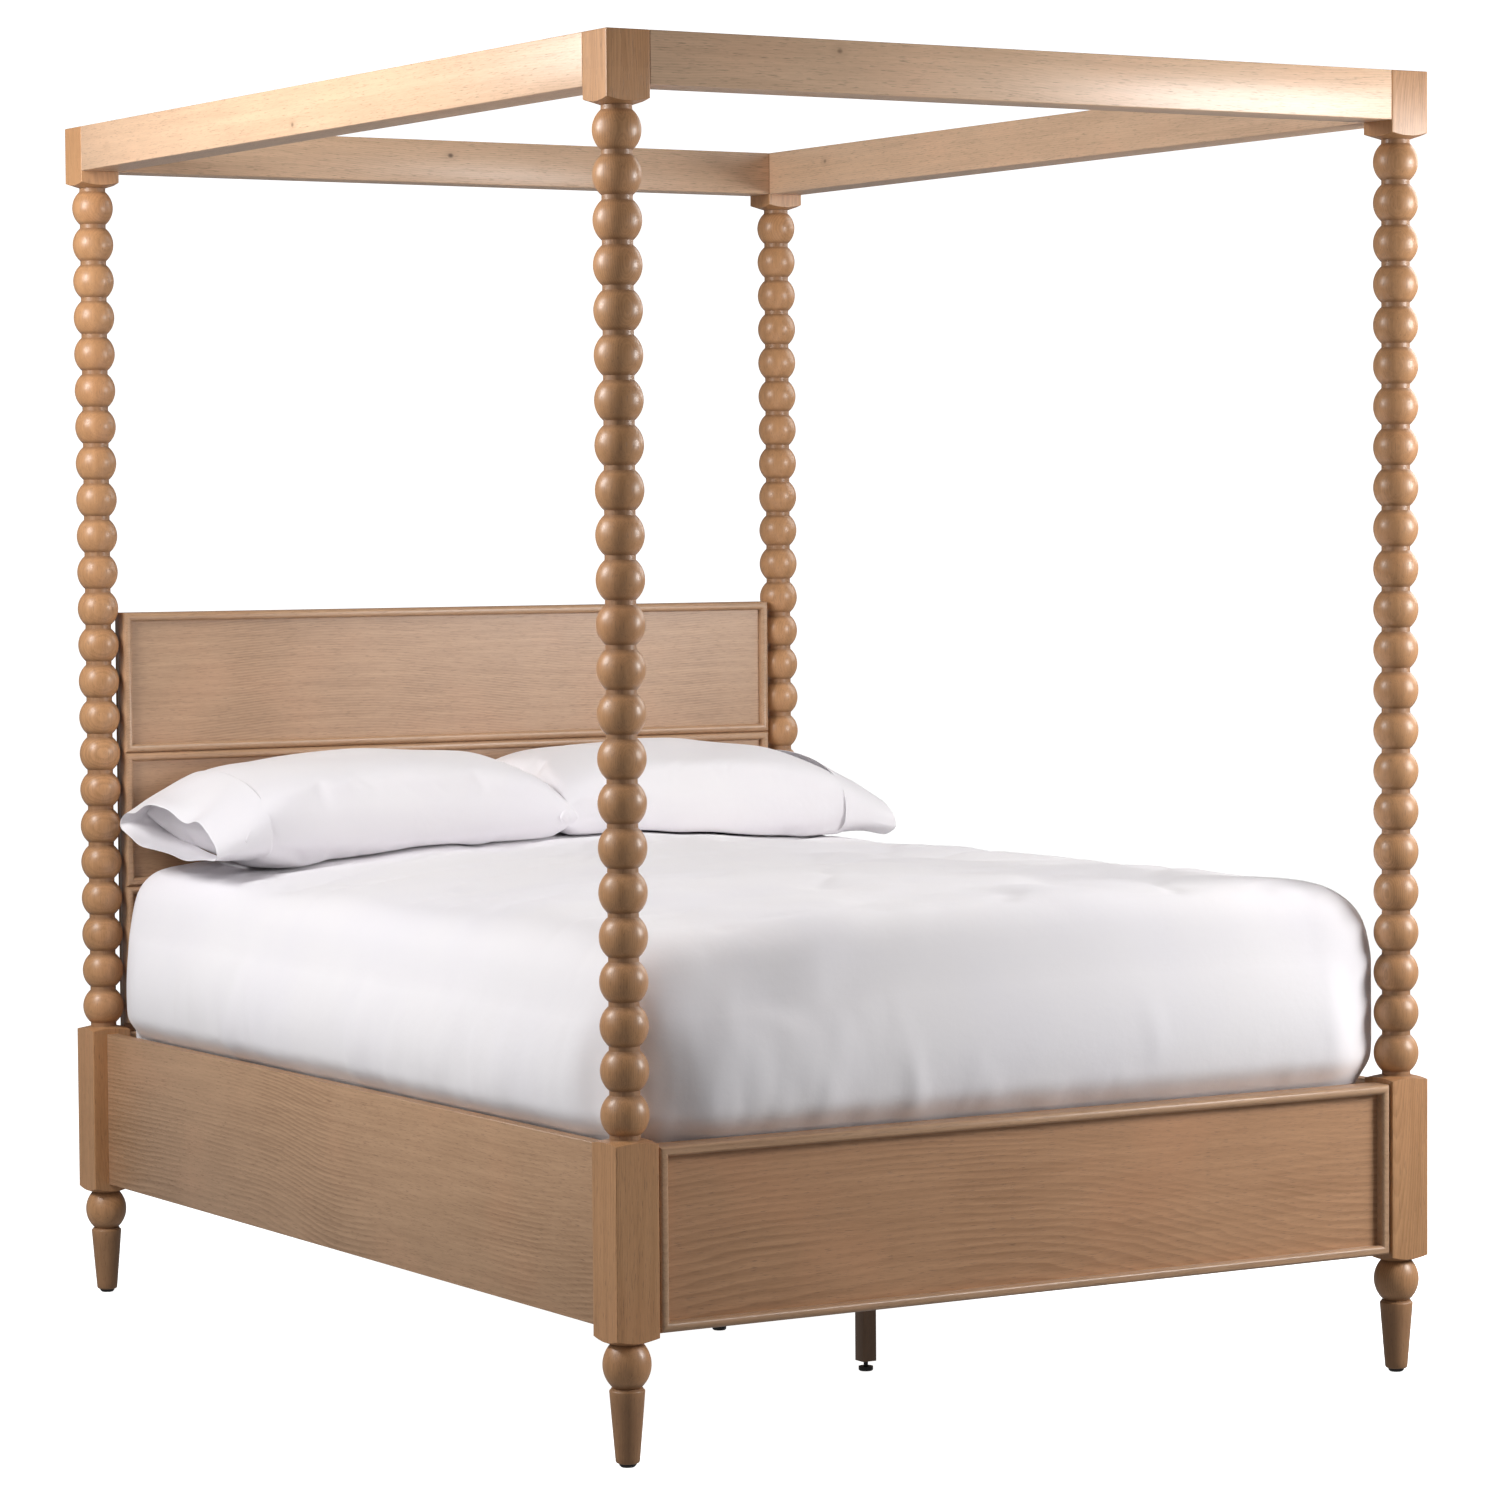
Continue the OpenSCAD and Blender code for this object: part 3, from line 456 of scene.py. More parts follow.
def ticking():
    """Knitted mattress cover with a diamond quilted pattern."""
    finish = Finish("mattress_ticking")
    first = abs(((finish.x + finish.y) * 62.0).fold("SINE"))
    second = abs(((finish.x - finish.y) * 62.0).fold("SINE"))
    stitch = first.fold("MINIMUM", second).between(0.14, 0.0)
    fine = finish.cloud(finish.coords, 900.0, 2.0, 0.6)
    colour = finish.mix(stitch * 0.35, (0.80, 0.79, 0.78), (0.58, 0.57, 0.57))
    colour = finish.mix(fine * 0.12, colour, (0.66, 0.66, 0.68))
    return finish.surface({
        "Base Color": colour,
        "Roughness": 0.85 + (fine - 0.5) * 0.08,
        "Normal": finish.bump(fine * 0.0002 - stitch * 0.0016, 1.0, 0.8),
    })


def metal(name, tint, rough):
    """Zinc plated steel with fine scratches."""
    finish = Finish(name)
    scratch = finish.cloud(finish.vector(finish.x * 0.1, finish.y, finish.z), 700.0, 3.0, 0.6)
    blotch = finish.cloud(finish.coords, 60.0, 3.0, 0.5)
    colour = finish.mix(blotch * 0.35, tuple(tint), tuple(0.72 * c for c in tint))
    return finish.surface({
        "Base Color": colour,
        "Metallic": 1.0,
        "Roughness": rough + (scratch - 0.5) * 0.20,
        "Normal": finish.bump(scratch, 0.00008, 0.4),
    })


def moulded_plastic():
    """Fine-grained black plastic."""
    finish = Finish("black_plastic")
    grain = finish.cloud(finish.coords, 1400.0, 2.0, 0.5)
    wear = finish.cloud(finish.coords, 90.0, 3.0, 0.6)
    colour = finish.mix(wear.between(0.5, 0.8) * 0.4, (0.018, 0.016, 0.015), (0.05, 0.047, 0.044))
    return finish.surface({
        "Base Color": colour,
        "Roughness": 0.48 + (grain - 0.5) * 0.15,
        "Normal": finish.bump(grain, 0.0001, 0.5),
    })


def dress(obj, *materials):
    obj.data.materials.clear()
    for material in materials:
        obj.data.materials.append(material)


# ---- shared mesh work ----

def new_piece(name, mesh, replaces=(), body=BED, sharp=math.radians(32), finish=()):
    """Links a mesh as a piece that rides on a body and stands for CAD nodes."""
    obj = bpy.data.objects.new(name, mesh)
    bpy.context.scene.collection.objects.link(obj)
    mesh.shade_smooth()
    if sharp:
        mesh.set_sharp_from_angle(angle=sharp)
    dress(obj, *finish)
    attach(obj, body)
    if replaces:
        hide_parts(*replaces)
    return obj


def mesh_from(name, verts, faces, slots=None):
    mesh = bpy.data.meshes.new(name)
    mesh.from_pydata([tuple(v) for v in verts], [], faces)
    if slots is not None:
        mesh.polygons.foreach_set("material_index", slots)
    work = bmesh.new()
    work.from_mesh(mesh)
    bmesh.ops.recalc_face_normals(work, faces=work.faces)
    work.to_mesh(mesh)
    work.free()
    return mesh


def eased_mesh(node, arris, shortest=0.03, steps=2):
    """A copy of a node's mesh with its long edges eased."""
    work = bmesh.new()
    work.from_mesh(NODES[node].data)
    bmesh.ops.remove_doubles(work, verts=work.verts, dist=1e-6)
    bmesh.ops.dissolve_limit(
        work, angle_limit=math.radians(0.5), verts=work.verts, edges=work.edges)
    edges = [
        e for e in work.edges
        if len(e.link_faces) == 2 and e.calc_face_angle(0) > math.radians(60)
        and e.calc_length() > shortest
    ]
    bmesh.ops.bevel(
        work, geom=edges, offset=arris, offset_type="OFFSET", segments=steps,
        profile=0.5, affect="EDGES", clamp_overlap=True)
    bmesh.ops.triangulate(work, faces=[f for f in work.faces if len(f.verts) > 4])
    mesh = bpy.data.meshes.new(node + "_eased")
    work.to_mesh(mesh)
    work.free()
    return mesh


def eased_piece(node, material, arris, shortest=0.03):
    mesh = eased_mesh(node, arris, shortest)
    return new_piece(node + "_board", mesh, (node,), finish=(material,))


# ---- posts ----

def square_reach(angle, half, arris):
    """Distance from the axis to the outline of an eased square, in a direction."""
    fold = abs((angle + math.pi / 4) % (math.pi / 2) - math.pi / 4)
    if half * math.tan(fold) <= half - arris:
        return half / math.cos(fold)
    centre = half - arris
    along = centre * (math.cos(fold) + math.sin(fold))
    return along + math.sqrt(max(0.0, along * along - (2 * centre * centre - arris * arris)))


def around(arris):
    """Directions around a post, closer together at the corners of its blocks."""
    turn = math.pi / 2
    spread = math.atan((BLOCK_HALF - arris) / BLOCK_HALF)
    corner = [spread + (turn - 2 * spread) * i / 4 for i in range(5)]
    quarter = [spread * i / 11 for i in range(11)] + corner
    quarter += [turn - spread * i / 11 for i in range(10, 0, -1)]
    return [q + turn * k for k in range(4) for q in quarter]


def turned_mesh(name, centre, levels, arris):
    """A post from levels of (height, turned radius, inset of the square), closed at both ends."""
    angles = around(arris)
    count = len(angles)
    verts = []
    for z, radius, inset in levels:
        half = BLOCK_HALF - inset
        for angle in angles:
            reach = min(radius, square_reach(angle, half, arris))
            verts.append((centre[0] + reach * math.cos(angle), centre[1] + reach * math.sin(angle), z))
    faces = []
    for ring in range(len(levels) - 1):
        start, above = ring * count, (ring + 1) * count
        for i in range(count):
            j = (i + 1) % count
            faces.append((start + i, start + j, above + j, above + i))
    for ring, z in ((0, levels[0][0]), (len(levels) - 1, levels[-1][0])):
        verts.append((centre[0], centre[1], z))
        hub = len(verts) - 1
        base = ring * count
        faces += [(hub, base + i, base + (i + 1) % count) for i in range(count)]
    return mesh_from(name, verts, faces)


def shoulder_levels(z_neck, z_block, neck, direction):
    """Levels of the cone that cuts a turned shoulder on a block, from the neck outwards."""
    corner = BLOCK_HALF * math.sqrt(2)
    steps = 22
    rise = z_block - z_neck
    levels = []
    for i in range(steps + 1):
        share = i / steps
        levels.append((z_neck + rise * share, neck + (corner - neck) * share, 0.0))
    levels.append((z_block + direction * 0.0004, corner + 0.004, 0.0))
    return levels


def bead_levels(first, pitch, count, radius, neck, tall):
    """Levels of a run of beads, with a tight groove at every neck."""
    limit = pitch / 2 - 0.0012
    levels = []
    steps = 18
    for bead in range(count):
        centre = first + bead * pitch
        for i in range(steps + 1):
            swing = -1 + 2 * i / steps
            angle = swing * math.acos(neck / radius)
            height = radius * tall * math.sin(angle)
            height = max(-limit, min(limit, height))
            levels.append((centre + height, radius * math.cos(angle), 0.0))
    return levels


class CANOPYBED_OT_posts(bpy.types.Operator):
    """Turn the four beaded posts and the four lower blocks with their feet"""

    bl_idname = "canopy_bed.posts"
    bl_label = "Posts"

    def execute(self, context):
        sizes = settings().posts
        radius = BLOCK_HALF
        neck = sizes.neck_radius
        low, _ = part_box("base_post_foot_left")
        foot_bottom = low.z
        block_low = RAIL_TOP + SHOULDER - BLOCK_TALL
        block_top = RAIL_TOP + SHOULDER
        for name, (sx, sy) in CORNERS.items():
            centre = (sx * POST_X, sy * POST_Y)
            seed = 1.0 + 0.9 * sx + 0.37 * sy
            first = POST_BOTTOM + 0.008 + math.sqrt(radius ** 2 - neck ** 2)
            last_top = first + (sizes.bead_count - 1) * sizes.bead_pitch
            last_top += math.sqrt(radius ** 2 - neck ** 2)
            top_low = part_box("upper_post_foot_left")[1].z - TOP_BLOCK_TALL
            beads = bead_levels(
                first, sizes.bead_pitch, sizes.bead_count, radius, neck, sizes.bead_tall)
            levels = [(POST_BOTTOM, neck, 0.0), (first - 0.0325, neck, 0.0)] + beads
            levels += [(last_top + 0.0006, neck + 0.0004, 0.0),
                       (top_low - sizes.shoulder - 0.0006, neck, 0.0)]
            levels += shoulder_levels(top_low - sizes.shoulder, top_low, neck, 1)
            wide = radius * 2
            levels += [(BED_TOP - sizes.arris, wide, 0.0)]
            levels += [
                (BED_TOP - sizes.arris * (1 - math.sin(a)), wide, sizes.arris * (1 - math.cos(a)))
                for a in (0.5, 1.05, math.pi / 2)
            ]
            mesh = turned_mesh("upper_post_" + name, centre, levels, sizes.arris)
            # painted shade: the posts and their bases take the browner "post" copy of the oak
            new_piece("turned_post_" + name, mesh, ("upper_post_" + name,),
                      finish=(wood("Z", "post", seed, 0.8, turned=True),))
            levels = self.foot(foot_bottom, block_low, block_top, neck)
            mesh = turned_mesh("base_post_" + name, centre, levels, sizes.arris)
            new_piece("turned_base_" + name, mesh, ("base_post_" + name,),
                      finish=(wood("Z", "post", seed + 0.2, 0.8, turned=True),))
        return {"FINISHED"}

    @staticmethod
    def foot(bottom, block_low, block_top, neck):
        """Levels of the taper, groove, ball and block."""
        taper_top = bottom + TAPER_TALL
        levels = [(bottom, 0.0165, 0.0), (bottom + 0.0012, 0.0185, 0.0), (bottom + 0.003, 0.0196, 0.0)]
        for i in range(1, 13):
            share = i / 12
            radius = 0.0196 + (0.029 - 0.0196) * share ** 0.96
            levels.append((bottom + 0.003 + (taper_top - 0.006 - bottom) * share, radius, 0.0))
        levels += [
            (taper_top - 0.002, 0.0289, 0.0), (taper_top - 0.001, 0.0284, 0.0),
            (taper_top, 0.0272, 0.0), (taper_top + 0.0006, 0.0262, 0.0), (taper_top + 0.002, 0.0260, 0.0),
        ]
        round_r, ball_r, groove = 0.050, BLOCK_HALF, 0.0262
        inset = round_r - ball_r
        half = math.sqrt(round_r ** 2 - (groove + inset) ** 2)
        ball_z = block_low - 0.010 - half
        start = taper_top + 0.0026
        for i in range(25):
            share = i / 24
            z = start + (ball_z + half - start) * share
            levels.append((z, math.sqrt(max(0.0, round_r ** 2 - (z - ball_z) ** 2)) - inset, 0.0))
        levels += shoulder_levels(block_low - 0.010, block_low, 0.0270, 1)
        top = shoulder_levels(block_top + 0.007, block_top, neck, -1)
        levels += list(reversed(top))
        return levels


# ---- boards ----

class CANOPYBED_OT_rails(bpy.types.Operator):
    """Ease the canopy rails, side rails and head rail and lacquer them"""

    bl_idname = "canopy_bed.rails"
    bl_label = "Rails"

    def execute(self, context):
        arris = settings().boards.arris
        # painted light: the canopy rails take the paler "canopy" copy of the oak
        for i, side in enumerate(("foot", "head")):
            eased_piece("canopy_rail_" + side,
                        wood("X", "canopy", 0.7 + i * 1.9, 0.55, knots=5.0), arris)
        for i, side in enumerate(("left", "right")):
            eased_piece("canopy_rail_" + side,
                        wood("Y", "canopy", 2.3 + i * 1.3, 0.55, knots=5.0), arris)
            eased_piece("side_rail_" + side,
                        wood("Y", "oak", 4.1 + i * 2.2, 1.5), arris)
        eased_piece("head_rail", wood("X", "oak", 6.3, 0.8), arris)
        return {"FINISHED"}


def moulding_mesh(name, node, width):
    """Mitred rounded moulding around the box of a node, its round side facing the foot."""
    low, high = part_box(node)
    depth = high.y - low.y
    round_r = width / 2
    steps = 14
    profile = [(0.0, 0.0), (0.0, depth - round_r)]
    for i in range(1, steps):
        angle = math.pi * i / steps
        profile.append((round_r - round_r * math.cos(angle), depth - round_r + round_r * math.sin(angle)))
    profile += [(width, depth - round_r), (width, 0.0)]
    verts = []
    for inset, out in profile:
        y = high.y - out
        verts += [
            (low.x + inset, y, low.z + inset), (high.x - inset, y, low.z + inset),
            (high.x - inset, y, high.z - inset), (low.x + inset, y, high.z - inset),
        ]
    faces, slots = [], []
    count = len(profile)
    for p in range(count):
        q = (p + 1) % count
        for k in range(4):
            m = (k + 1) % 4
            faces.append((4 * p + k, 4 * p + m, 4 * q + m, 4 * q + k))
            slots.append(k % 2)
    return mesh_from(name, verts, faces, slots)


class CANOPYBED_OT_panels(bpy.types.Operator):
    """Lay up the footboard and headboard with their panels, mouldings and ladder frame"""

    bl_idname = "canopy_bed.panels"
    bl_label = "Headboard and footboard"

    def execute(self, context):
        sizes = settings().boards
        # painted shade: the footboard back and panel take the browner "foot" copy of the oak
        eased_piece("footboard_back", wood("X", "foot", 8.2, 0.7), sizes.arris)
        eased_piece("headboard_frame", wood("X", "oak", 9.4, 0.7), sizes.arris)
        dress(NODES["footboard_panel"], wood("X", "foot", 3.3, 1.0))
        for i, panel in enumerate(PANELS):
            dress(NODES["headboard_panel_" + panel], wood("X", "oak", 5.1 + 1.7 * i, 1.25))
        names = ["footboard_moulding"] + ["headboard_moulding_" + p for p in PANELS]
        for i, node in enumerate(names):
            mesh = moulding_mesh(node + "_run", node, sizes.moulding_width)
            across = wood("X", "oak", 1.1 + i, 0.5)
            upright = wood("Z", "oak", 1.6 + i, 0.5)
            new_piece(node + "_run", mesh, (node,), finish=(across, upright))
        return {"FINISHED"}


class CANOPYBED_OT_base(bpy.types.Operator):
    """Ease the slats, ledgers, centre beam and legs"""

    bl_idname = "canopy_bed.base"
    bl_label = "Slatted base"

    def execute(self, context):
        slats = sorted(n for n in NODES if n.startswith("slat_") and n != "slat_screws")
        for i, node in enumerate(slats):
            eased_piece(node, wood("X", "pine", 0.9 + 0.8 * i, 0.9, knots=3.5), 0.002)
        for node in ("ledger_left", "ledger_right", "centre_beam"):
            eased_piece(node, wood("Y", "pine", 4.4, 0.8, knots=3.0), 0.002)
        legs = sorted(n for n in NODES if n.startswith("centre_leg_"))
        for node in legs:
            eased_piece(node, wood("Z", "stain", 2.2, 0.6), 0.0016)
        dress(NODES["canopy_pegs"], wood("Z", "oak", 7.7, 0.4))
        return {"FINISHED"}


class CANOPYBED_OT_hardware(bpy.types.Operator):
    """Plate the steel parts and mould the glides and levellers"""

    bl_idname = "canopy_bed.hardware"
    bl_label = "Hardware"

    def execute(self, context):
        zinc = metal("zinc_plate", (0.55, 0.56, 0.57), 0.38)
        for node in ("beam_hangers", "leveller_inserts", "post_studs", "post_bushes", "hook_plates",
                     "slot_plates", "plate_screws", "slat_screws", "headboard_pins", "headboard_bolts"):
            dress(NODES[node], zinc)
        plastic = moulded_plastic()
        dress(NODES["post_glides"], plastic)
        for node in sorted(n for n in NODES if n.startswith("leveller_") and n != "leveller_inserts"):
            dress(NODES[node], plastic)
        return {"FINISHED"}


# ---- bedding ----

def applied(obj):
    """Replaces an object's mesh with what its modifiers make of it."""
    graph = bpy.context.evaluated_depsgraph_get()
    mesh = bpy.data.meshes.new_from_object(obj.evaluated_get(graph))
    obj.modifiers.clear()
    old = obj.data
    obj.data = mesh
    bpy.data.meshes.remove(old)
    return obj


def rounded_corner(x, y, half_x, half_y, radius):
    """Pulls a point of a rectangle into the same rectangle with rounded corners."""
    over_x = (abs(x) - (half_x - radius)) / radius
    over_y = (abs(y) - (half_y - radius)) / radius
    if over_x <= 0 or over_y <= 0:
        return x, y
    new_x = over_x * math.sqrt(1 - over_y * over_y / 2)
    new_y = over_y * math.sqrt(1 - over_x * over_x / 2)
    return (math.copysign(half_x - radius + new_x * radius, x),
            math.copysign(half_y - radius + new_y * radius, y))


class CANOPYBED_OT_mattress(bpy.types.Operator):
    """Upholster the mattress, with its two rounded edges and quilted top"""

    bl_idname = "canopy_bed.mattress"
    bl_label = "Mattress"

    def execute(self, context):
        half = (MATTRESS_HIGH - MATTRESS_LOW) / 2 - Vector((0.008, 0.013, 0.0))
        centre = (MATTRESS_HIGH + MATTRESS_LOW) / 2
        columns, rows = 44, 56
        edge = 0.035
        radius = 0.085
        verts, faces = [], []
        layers = []
        walls = 10
        for sign in (-1, 1):
            start = len(verts)
            for j in range(rows + 1):
                for i in range(columns + 1):
                    u, v = -1 + 2 * i / columns, -1 + 2 * j / rows
                    x, y = rounded_corner(u * half.x, v * half.y, half.x, half.y, radius)
                    near = min(half.x - abs(u) * half.x, half.y - abs(v) * half.y)
                    fall = 1 - math.sqrt(max(0.0, 1 - max(0.0, 1 - near / edge) ** 2))
                    quilt = 0.004 * math.cos(x * 42) * math.cos(y * 42) * min(1, near / 0.12)
                    verts.append((centre.x + x, centre.y + y,
                                  centre.z + sign * (half.z - edge * fall - 0.004 + quilt)))
            layers.append(start)
            for j in range(rows):
                for i in range(columns):
                    a = start + j * (columns + 1) + i
                    quad = (a, a + 1, a + columns + 2, a + columns + 1)
                    faces.append(quad if sign > 0 else quad[::-1])
        rim = [(i, 0) for i in range(columns)] + [(columns, j) for j in range(rows)]
        rim += [(i, rows) for i in range(columns, 0, -1)] + [(0, j) for j in range(rows, 0, -1)]
        rim = [j * (columns + 1) + i for i, j in rim]
        previous = [layers[0] + k for k in rim]
        for w in range(1, walls):
            share = w / walls
            ring = []
            for k in rim:
                low, high = Vector(verts[layers[0] + k]), Vector(verts[layers[1] + k])
                point = low.lerp(high, share)
                out = Vector((point.x - centre.x, point.y - centre.y, 0)).normalized()
                point -= out * 0.006 * (1 - math.sin(math.pi * share))
                verts.append(tuple(point))
                ring.append(len(verts) - 1)
            for a in range(len(rim)):
                b = (a + 1) % len(rim)
                faces.append((previous[a], previous[b], ring[b], ring[a]))
            previous = ring
        last = [layers[1] + k for k in rim]
        for a in range(len(rim)):
            b = (a + 1) % len(rim)
            faces.append((previous[a], previous[b], last[b], last[a]))
        mesh = mesh_from("mattress_cover", verts, faces)
        cover = new_piece("mattress_cover", mesh, ("mattress",), sharp=None,
                          finish=(ticking(),))
        return {"FINISHED"}


def duvet_top(x, y):
    """Height of the duvet's crowned top before it wrinkles."""
    crown = settings().bedding.crown
    base = DUVET_HIGH.z - 0.027
    across = 1 - (x / 0.76) ** 2
    along = 1 - max(0.0, (-y - 0.35) / 0.72) ** 2 * 0.55
    return base + crown * max(-0.2, across) * along + 0.015 * x


def post_offset(point):
    """Where a point lies from the axis of the nearest post, seen from above."""
    axis = Vector((math.copysign(POST_X, point.x), math.copysign(POST_Y, point.y)))
    return axis, point.xy - axis


def post_room(point):
    """Share of the duvet's bulge that fits at a point: none against a post, all well away from it."""
    share = min(1.0, max(0.0, (post_offset(point)[1].length - 0.055) / 0.13))
    return share * share * (3 - 2 * share)


def clear_of_posts(point):
    """Moves a point of the duvet off the beads and the block of the nearest post."""
    axis, away = post_offset(point)
    gap = 0.004
    inner = Vector((POST_X, POST_Y)) - Vector((1, 1)) * (BLOCK_HALF + gap)
    past = Vector((abs(point.x), abs(point.y))) - inner
    if point.z < POST_BOTTOM + 0.012 and min(past) > 0:
        if past.x < past.y:
            return Vector((math.copysign(inner.x, point.x), point.y, point.z))
        return Vector((point.x, math.copysign(inner.y, point.y), point.z))
    reach = BLOCK_HALF + gap
    if away.length >= reach:
        return point
    away = away.normalized() * reach
    return Vector((axis.x + away.x, axis.y + away.y, point.z))


class CANOPYBED_OT_duvet(bpy.types.Operator):
    """Drape and tuck the duvet over the mattress"""

    bl_idname = "canopy_bed.duvet"
    bl_label = "Duvet"

    def execute(self, context):
        low, high = DUVET_LOW, DUVET_HIGH
        half_x = 0.770
        y0, y1 = low.y + 0.022, high.y - 0.004
        half_y, mid_y = (y1 - y0) / 2, (y1 + y0) / 2
        columns, rows = 96, 126
        radius = 0.080
        shoulder_w, shoulder_h = 0.105, 0.120
        bulge = settings().bedding.bulge
        index = {}
        verts, faces = [], []
        for j in range(rows + 1):
            for i in range(columns + 1):
                u, v = -1 + 2 * i / columns, -1 + 2 * j / rows
                px, py = u * half_x, v * half_y
                x, y = rounded_corner(px, py, half_x, half_y, radius)
                near_x = half_x - abs(px)
                near_foot = py + half_y
                near_head = (half_y - py) + 0.03
                fall = 0.0
                for near in (near_x, near_foot, near_head):
                    over = max(0.0, 1 - near / shoulder_w)
                    fall = math.hypot(fall, 1 - math.sqrt(max(0.0, 1 - over * over)))
                fall = min(1.0, fall)
                z = duvet_top(x, mid_y + y) - shoulder_h * fall
                index[i, j] = len(verts)
                verts.append(Vector((x, mid_y + y, z)))
        for j in range(rows):
            for i in range(columns):
                faces.append((index[i, j], index[i + 1, j], index[i + 1, j + 1], index[i, j + 1]))
        rim = [(i, 0) for i in range(columns)] + [(columns, j) for j in range(rows)]
        rim += [(i, rows) for i in range(columns, 0, -1)] + [(0, j) for j in range(rows, 0, -1)]
        normals = []
        count = len(rim)
        for k in range(count):
            before, after = verts[index[rim[k - 1]]], verts[index[rim[(k + 1) % count]]]
            direction = Vector((after.x - before.x, after.y - before.y, 0)).normalized()
            normals.append(Vector((direction.y, -direction.x, 0)))
        previous = [index[k] for k in rim]
        drops = 20
        hem_z = RAIL_TOP - 0.030
        for d in range(1, drops + 1):
            share = d / drops
            ring = []
            for k in range(count):
                top = verts[index[rim[k]]]
                z = top.z + (hem_z - top.z) * share
                swell = math.sin(math.pi * min(1.0, share * 1.02)) ** 0.8 * post_room(top)
                tuck = max(0.0, share - 0.72) / 0.28
                out = bulge * swell * (0.82 if abs(normals[k].y) > 0.7 else 0.75) - 0.044 * tuck ** 1.1
                if normals[k].y > 0.7:
                    out = -0.004 * share
                verts.append(Vector((top.x, top.y, 0)) + normals[k] * out + Vector((0, 0, z)))
                ring.append(len(verts) - 1)
            for a in range(count):
                b = (a + 1) % count
                faces.append((previous[b], previous[a], ring[a], ring[b]))
            previous = ring
        rng = np.random.default_rng(7)
        offset = rng.uniform(-40, 40, 3)
        for i, v in enumerate(verts):
            place = Vector((v.x * 7, v.y * 7, v.z * 2)) + Vector(offset)
            v.z += 0.0035 * noise.noise(place)
        mesh = mesh_from("duvet_cover", verts, faces)
        cover = new_piece("duvet_cover", mesh, ("duvet",), sharp=None,
                          finish=(cotton("duvet_cotton", settings().finishes.cotton),))
        self.wrinkle(cover)
        self.thicken(cover)
        return {"FINISHED"}

    @staticmethod
    def wrinkle(cover):
        """Soft pulls down the sides and faint creases across the top."""
        mesh = cover.data
        normals = [vertex.normal.copy() for vertex in mesh.vertices]
        for vertex, n in zip(mesh.vertices, normals):
            v = vertex.co.copy()
            side = 1 - min(1.0, max(0.0, (v.z - RAIL_TOP) / 0.28))
            free = min(1.0, max(0.0, (v.z - RAIL_TOP + 0.005) / 0.07))
            around_bed = v.y if abs(n.x) > abs(n.y) else v.x
            face = 3.1 if v.x > 0 else -3.1
            puff = noise.noise(Vector((v.x * 3.1 + 4, v.y * 3.1, v.z * 2)))
            dimple = noise.noise(Vector((v.x * 8.5, v.y * 7.0 + 5, v.z * 5)))
            pull = noise.noise(Vector((around_bed * 17.0 + v.z * 4.0, v.z * 2.6, face)))
            pleat = noise.noise(Vector((around_bed * 46.0 - v.z * 7.0, v.z * 4.0, 9.4)))
            bent = v.y + 0.10 * noise.noise(Vector((v.x * 2.2, v.y * 2.2, 6.0)))
            fold_line = noise.noise(Vector((v.x * 2.6 + bent * 1.6, bent * 6.5 - v.x * 1.5, 1.7)))
            crease = max(0.0, 1 - abs(fold_line) * 9)
            lift = 0.0120 * puff + 0.0058 * dimple - 0.0075 * crease * (1 - 0.6 * side)
            lift += side * (0.0120 * pull + 0.0042 * pleat)
            lift *= free
            if n.z < 0.93:
                lift = max(lift, -0.002)
            vertex.co = clear_of_posts(v + n * lift)
        mesh.update()

    @staticmethod
    def thicken(cover):
        """Gives the cover its cloth thickness and a smooth surface."""
        shell = cover.modifiers.new("Cloth thickness", "SOLIDIFY")
        shell.thickness = 0.012
        shell.offset = -1
        applied(cover)
        smooth = cover.modifiers.new("Smooth", "SUBSURF")
        smooth.levels = 1
        smooth.render_levels = 1
        applied(cover)
        cover.data.shade_smooth()


# ---- pillows ----

def pillow_mesh(name, length, width, crown, seed):
    """A filled pillow, stitched at its rim, with corners that pull in and draw out."""
    columns, rows = 84, 56
    verts, faces = [], []
    layers = []
    for sign in (-1, 1):
        start = len(verts)
        for j in range(rows + 1):
            for i in range(columns + 1):
                u, v = -1 + 2 * i / columns, -1 + 2 * j / rows
                x = u * length / 2 * (1 - 0.045 * (1 - v * v) * abs(u) ** 3)
                y = v * width / 2 * (1 - 0.075 * (1 - u * u) * abs(v) ** 3)
                belly = (max(0.0, 1 - abs(u) ** 3.2) * max(0.0, 1 - abs(v) ** 2.6)) ** 0.46
                share = 0.62 if sign > 0 else 0.38
                z = sign * crown * share * belly
                place = Vector((x * 6 + seed, y * 6, sign * 3.0))
                z += sign * 0.014 * noise.noise(place) * belly
                verts.append((x, y, z))
        layers.append(start)
        for j in range(rows):
            for i in range(columns):
                a = start + j * (columns + 1) + i
                quad = (a, a + 1, a + columns + 2, a + columns + 1)
                faces.append(quad if sign > 0 else quad[::-1])
    mesh = bpy.data.meshes.new(name)
    mesh.from_pydata(verts, [], faces)
    work = bmesh.new()
    work.from_mesh(mesh)
    bmesh.ops.remove_doubles(work, verts=work.verts, dist=0.0004)
    work.to_mesh(mesh)
    work.free()
    return mesh


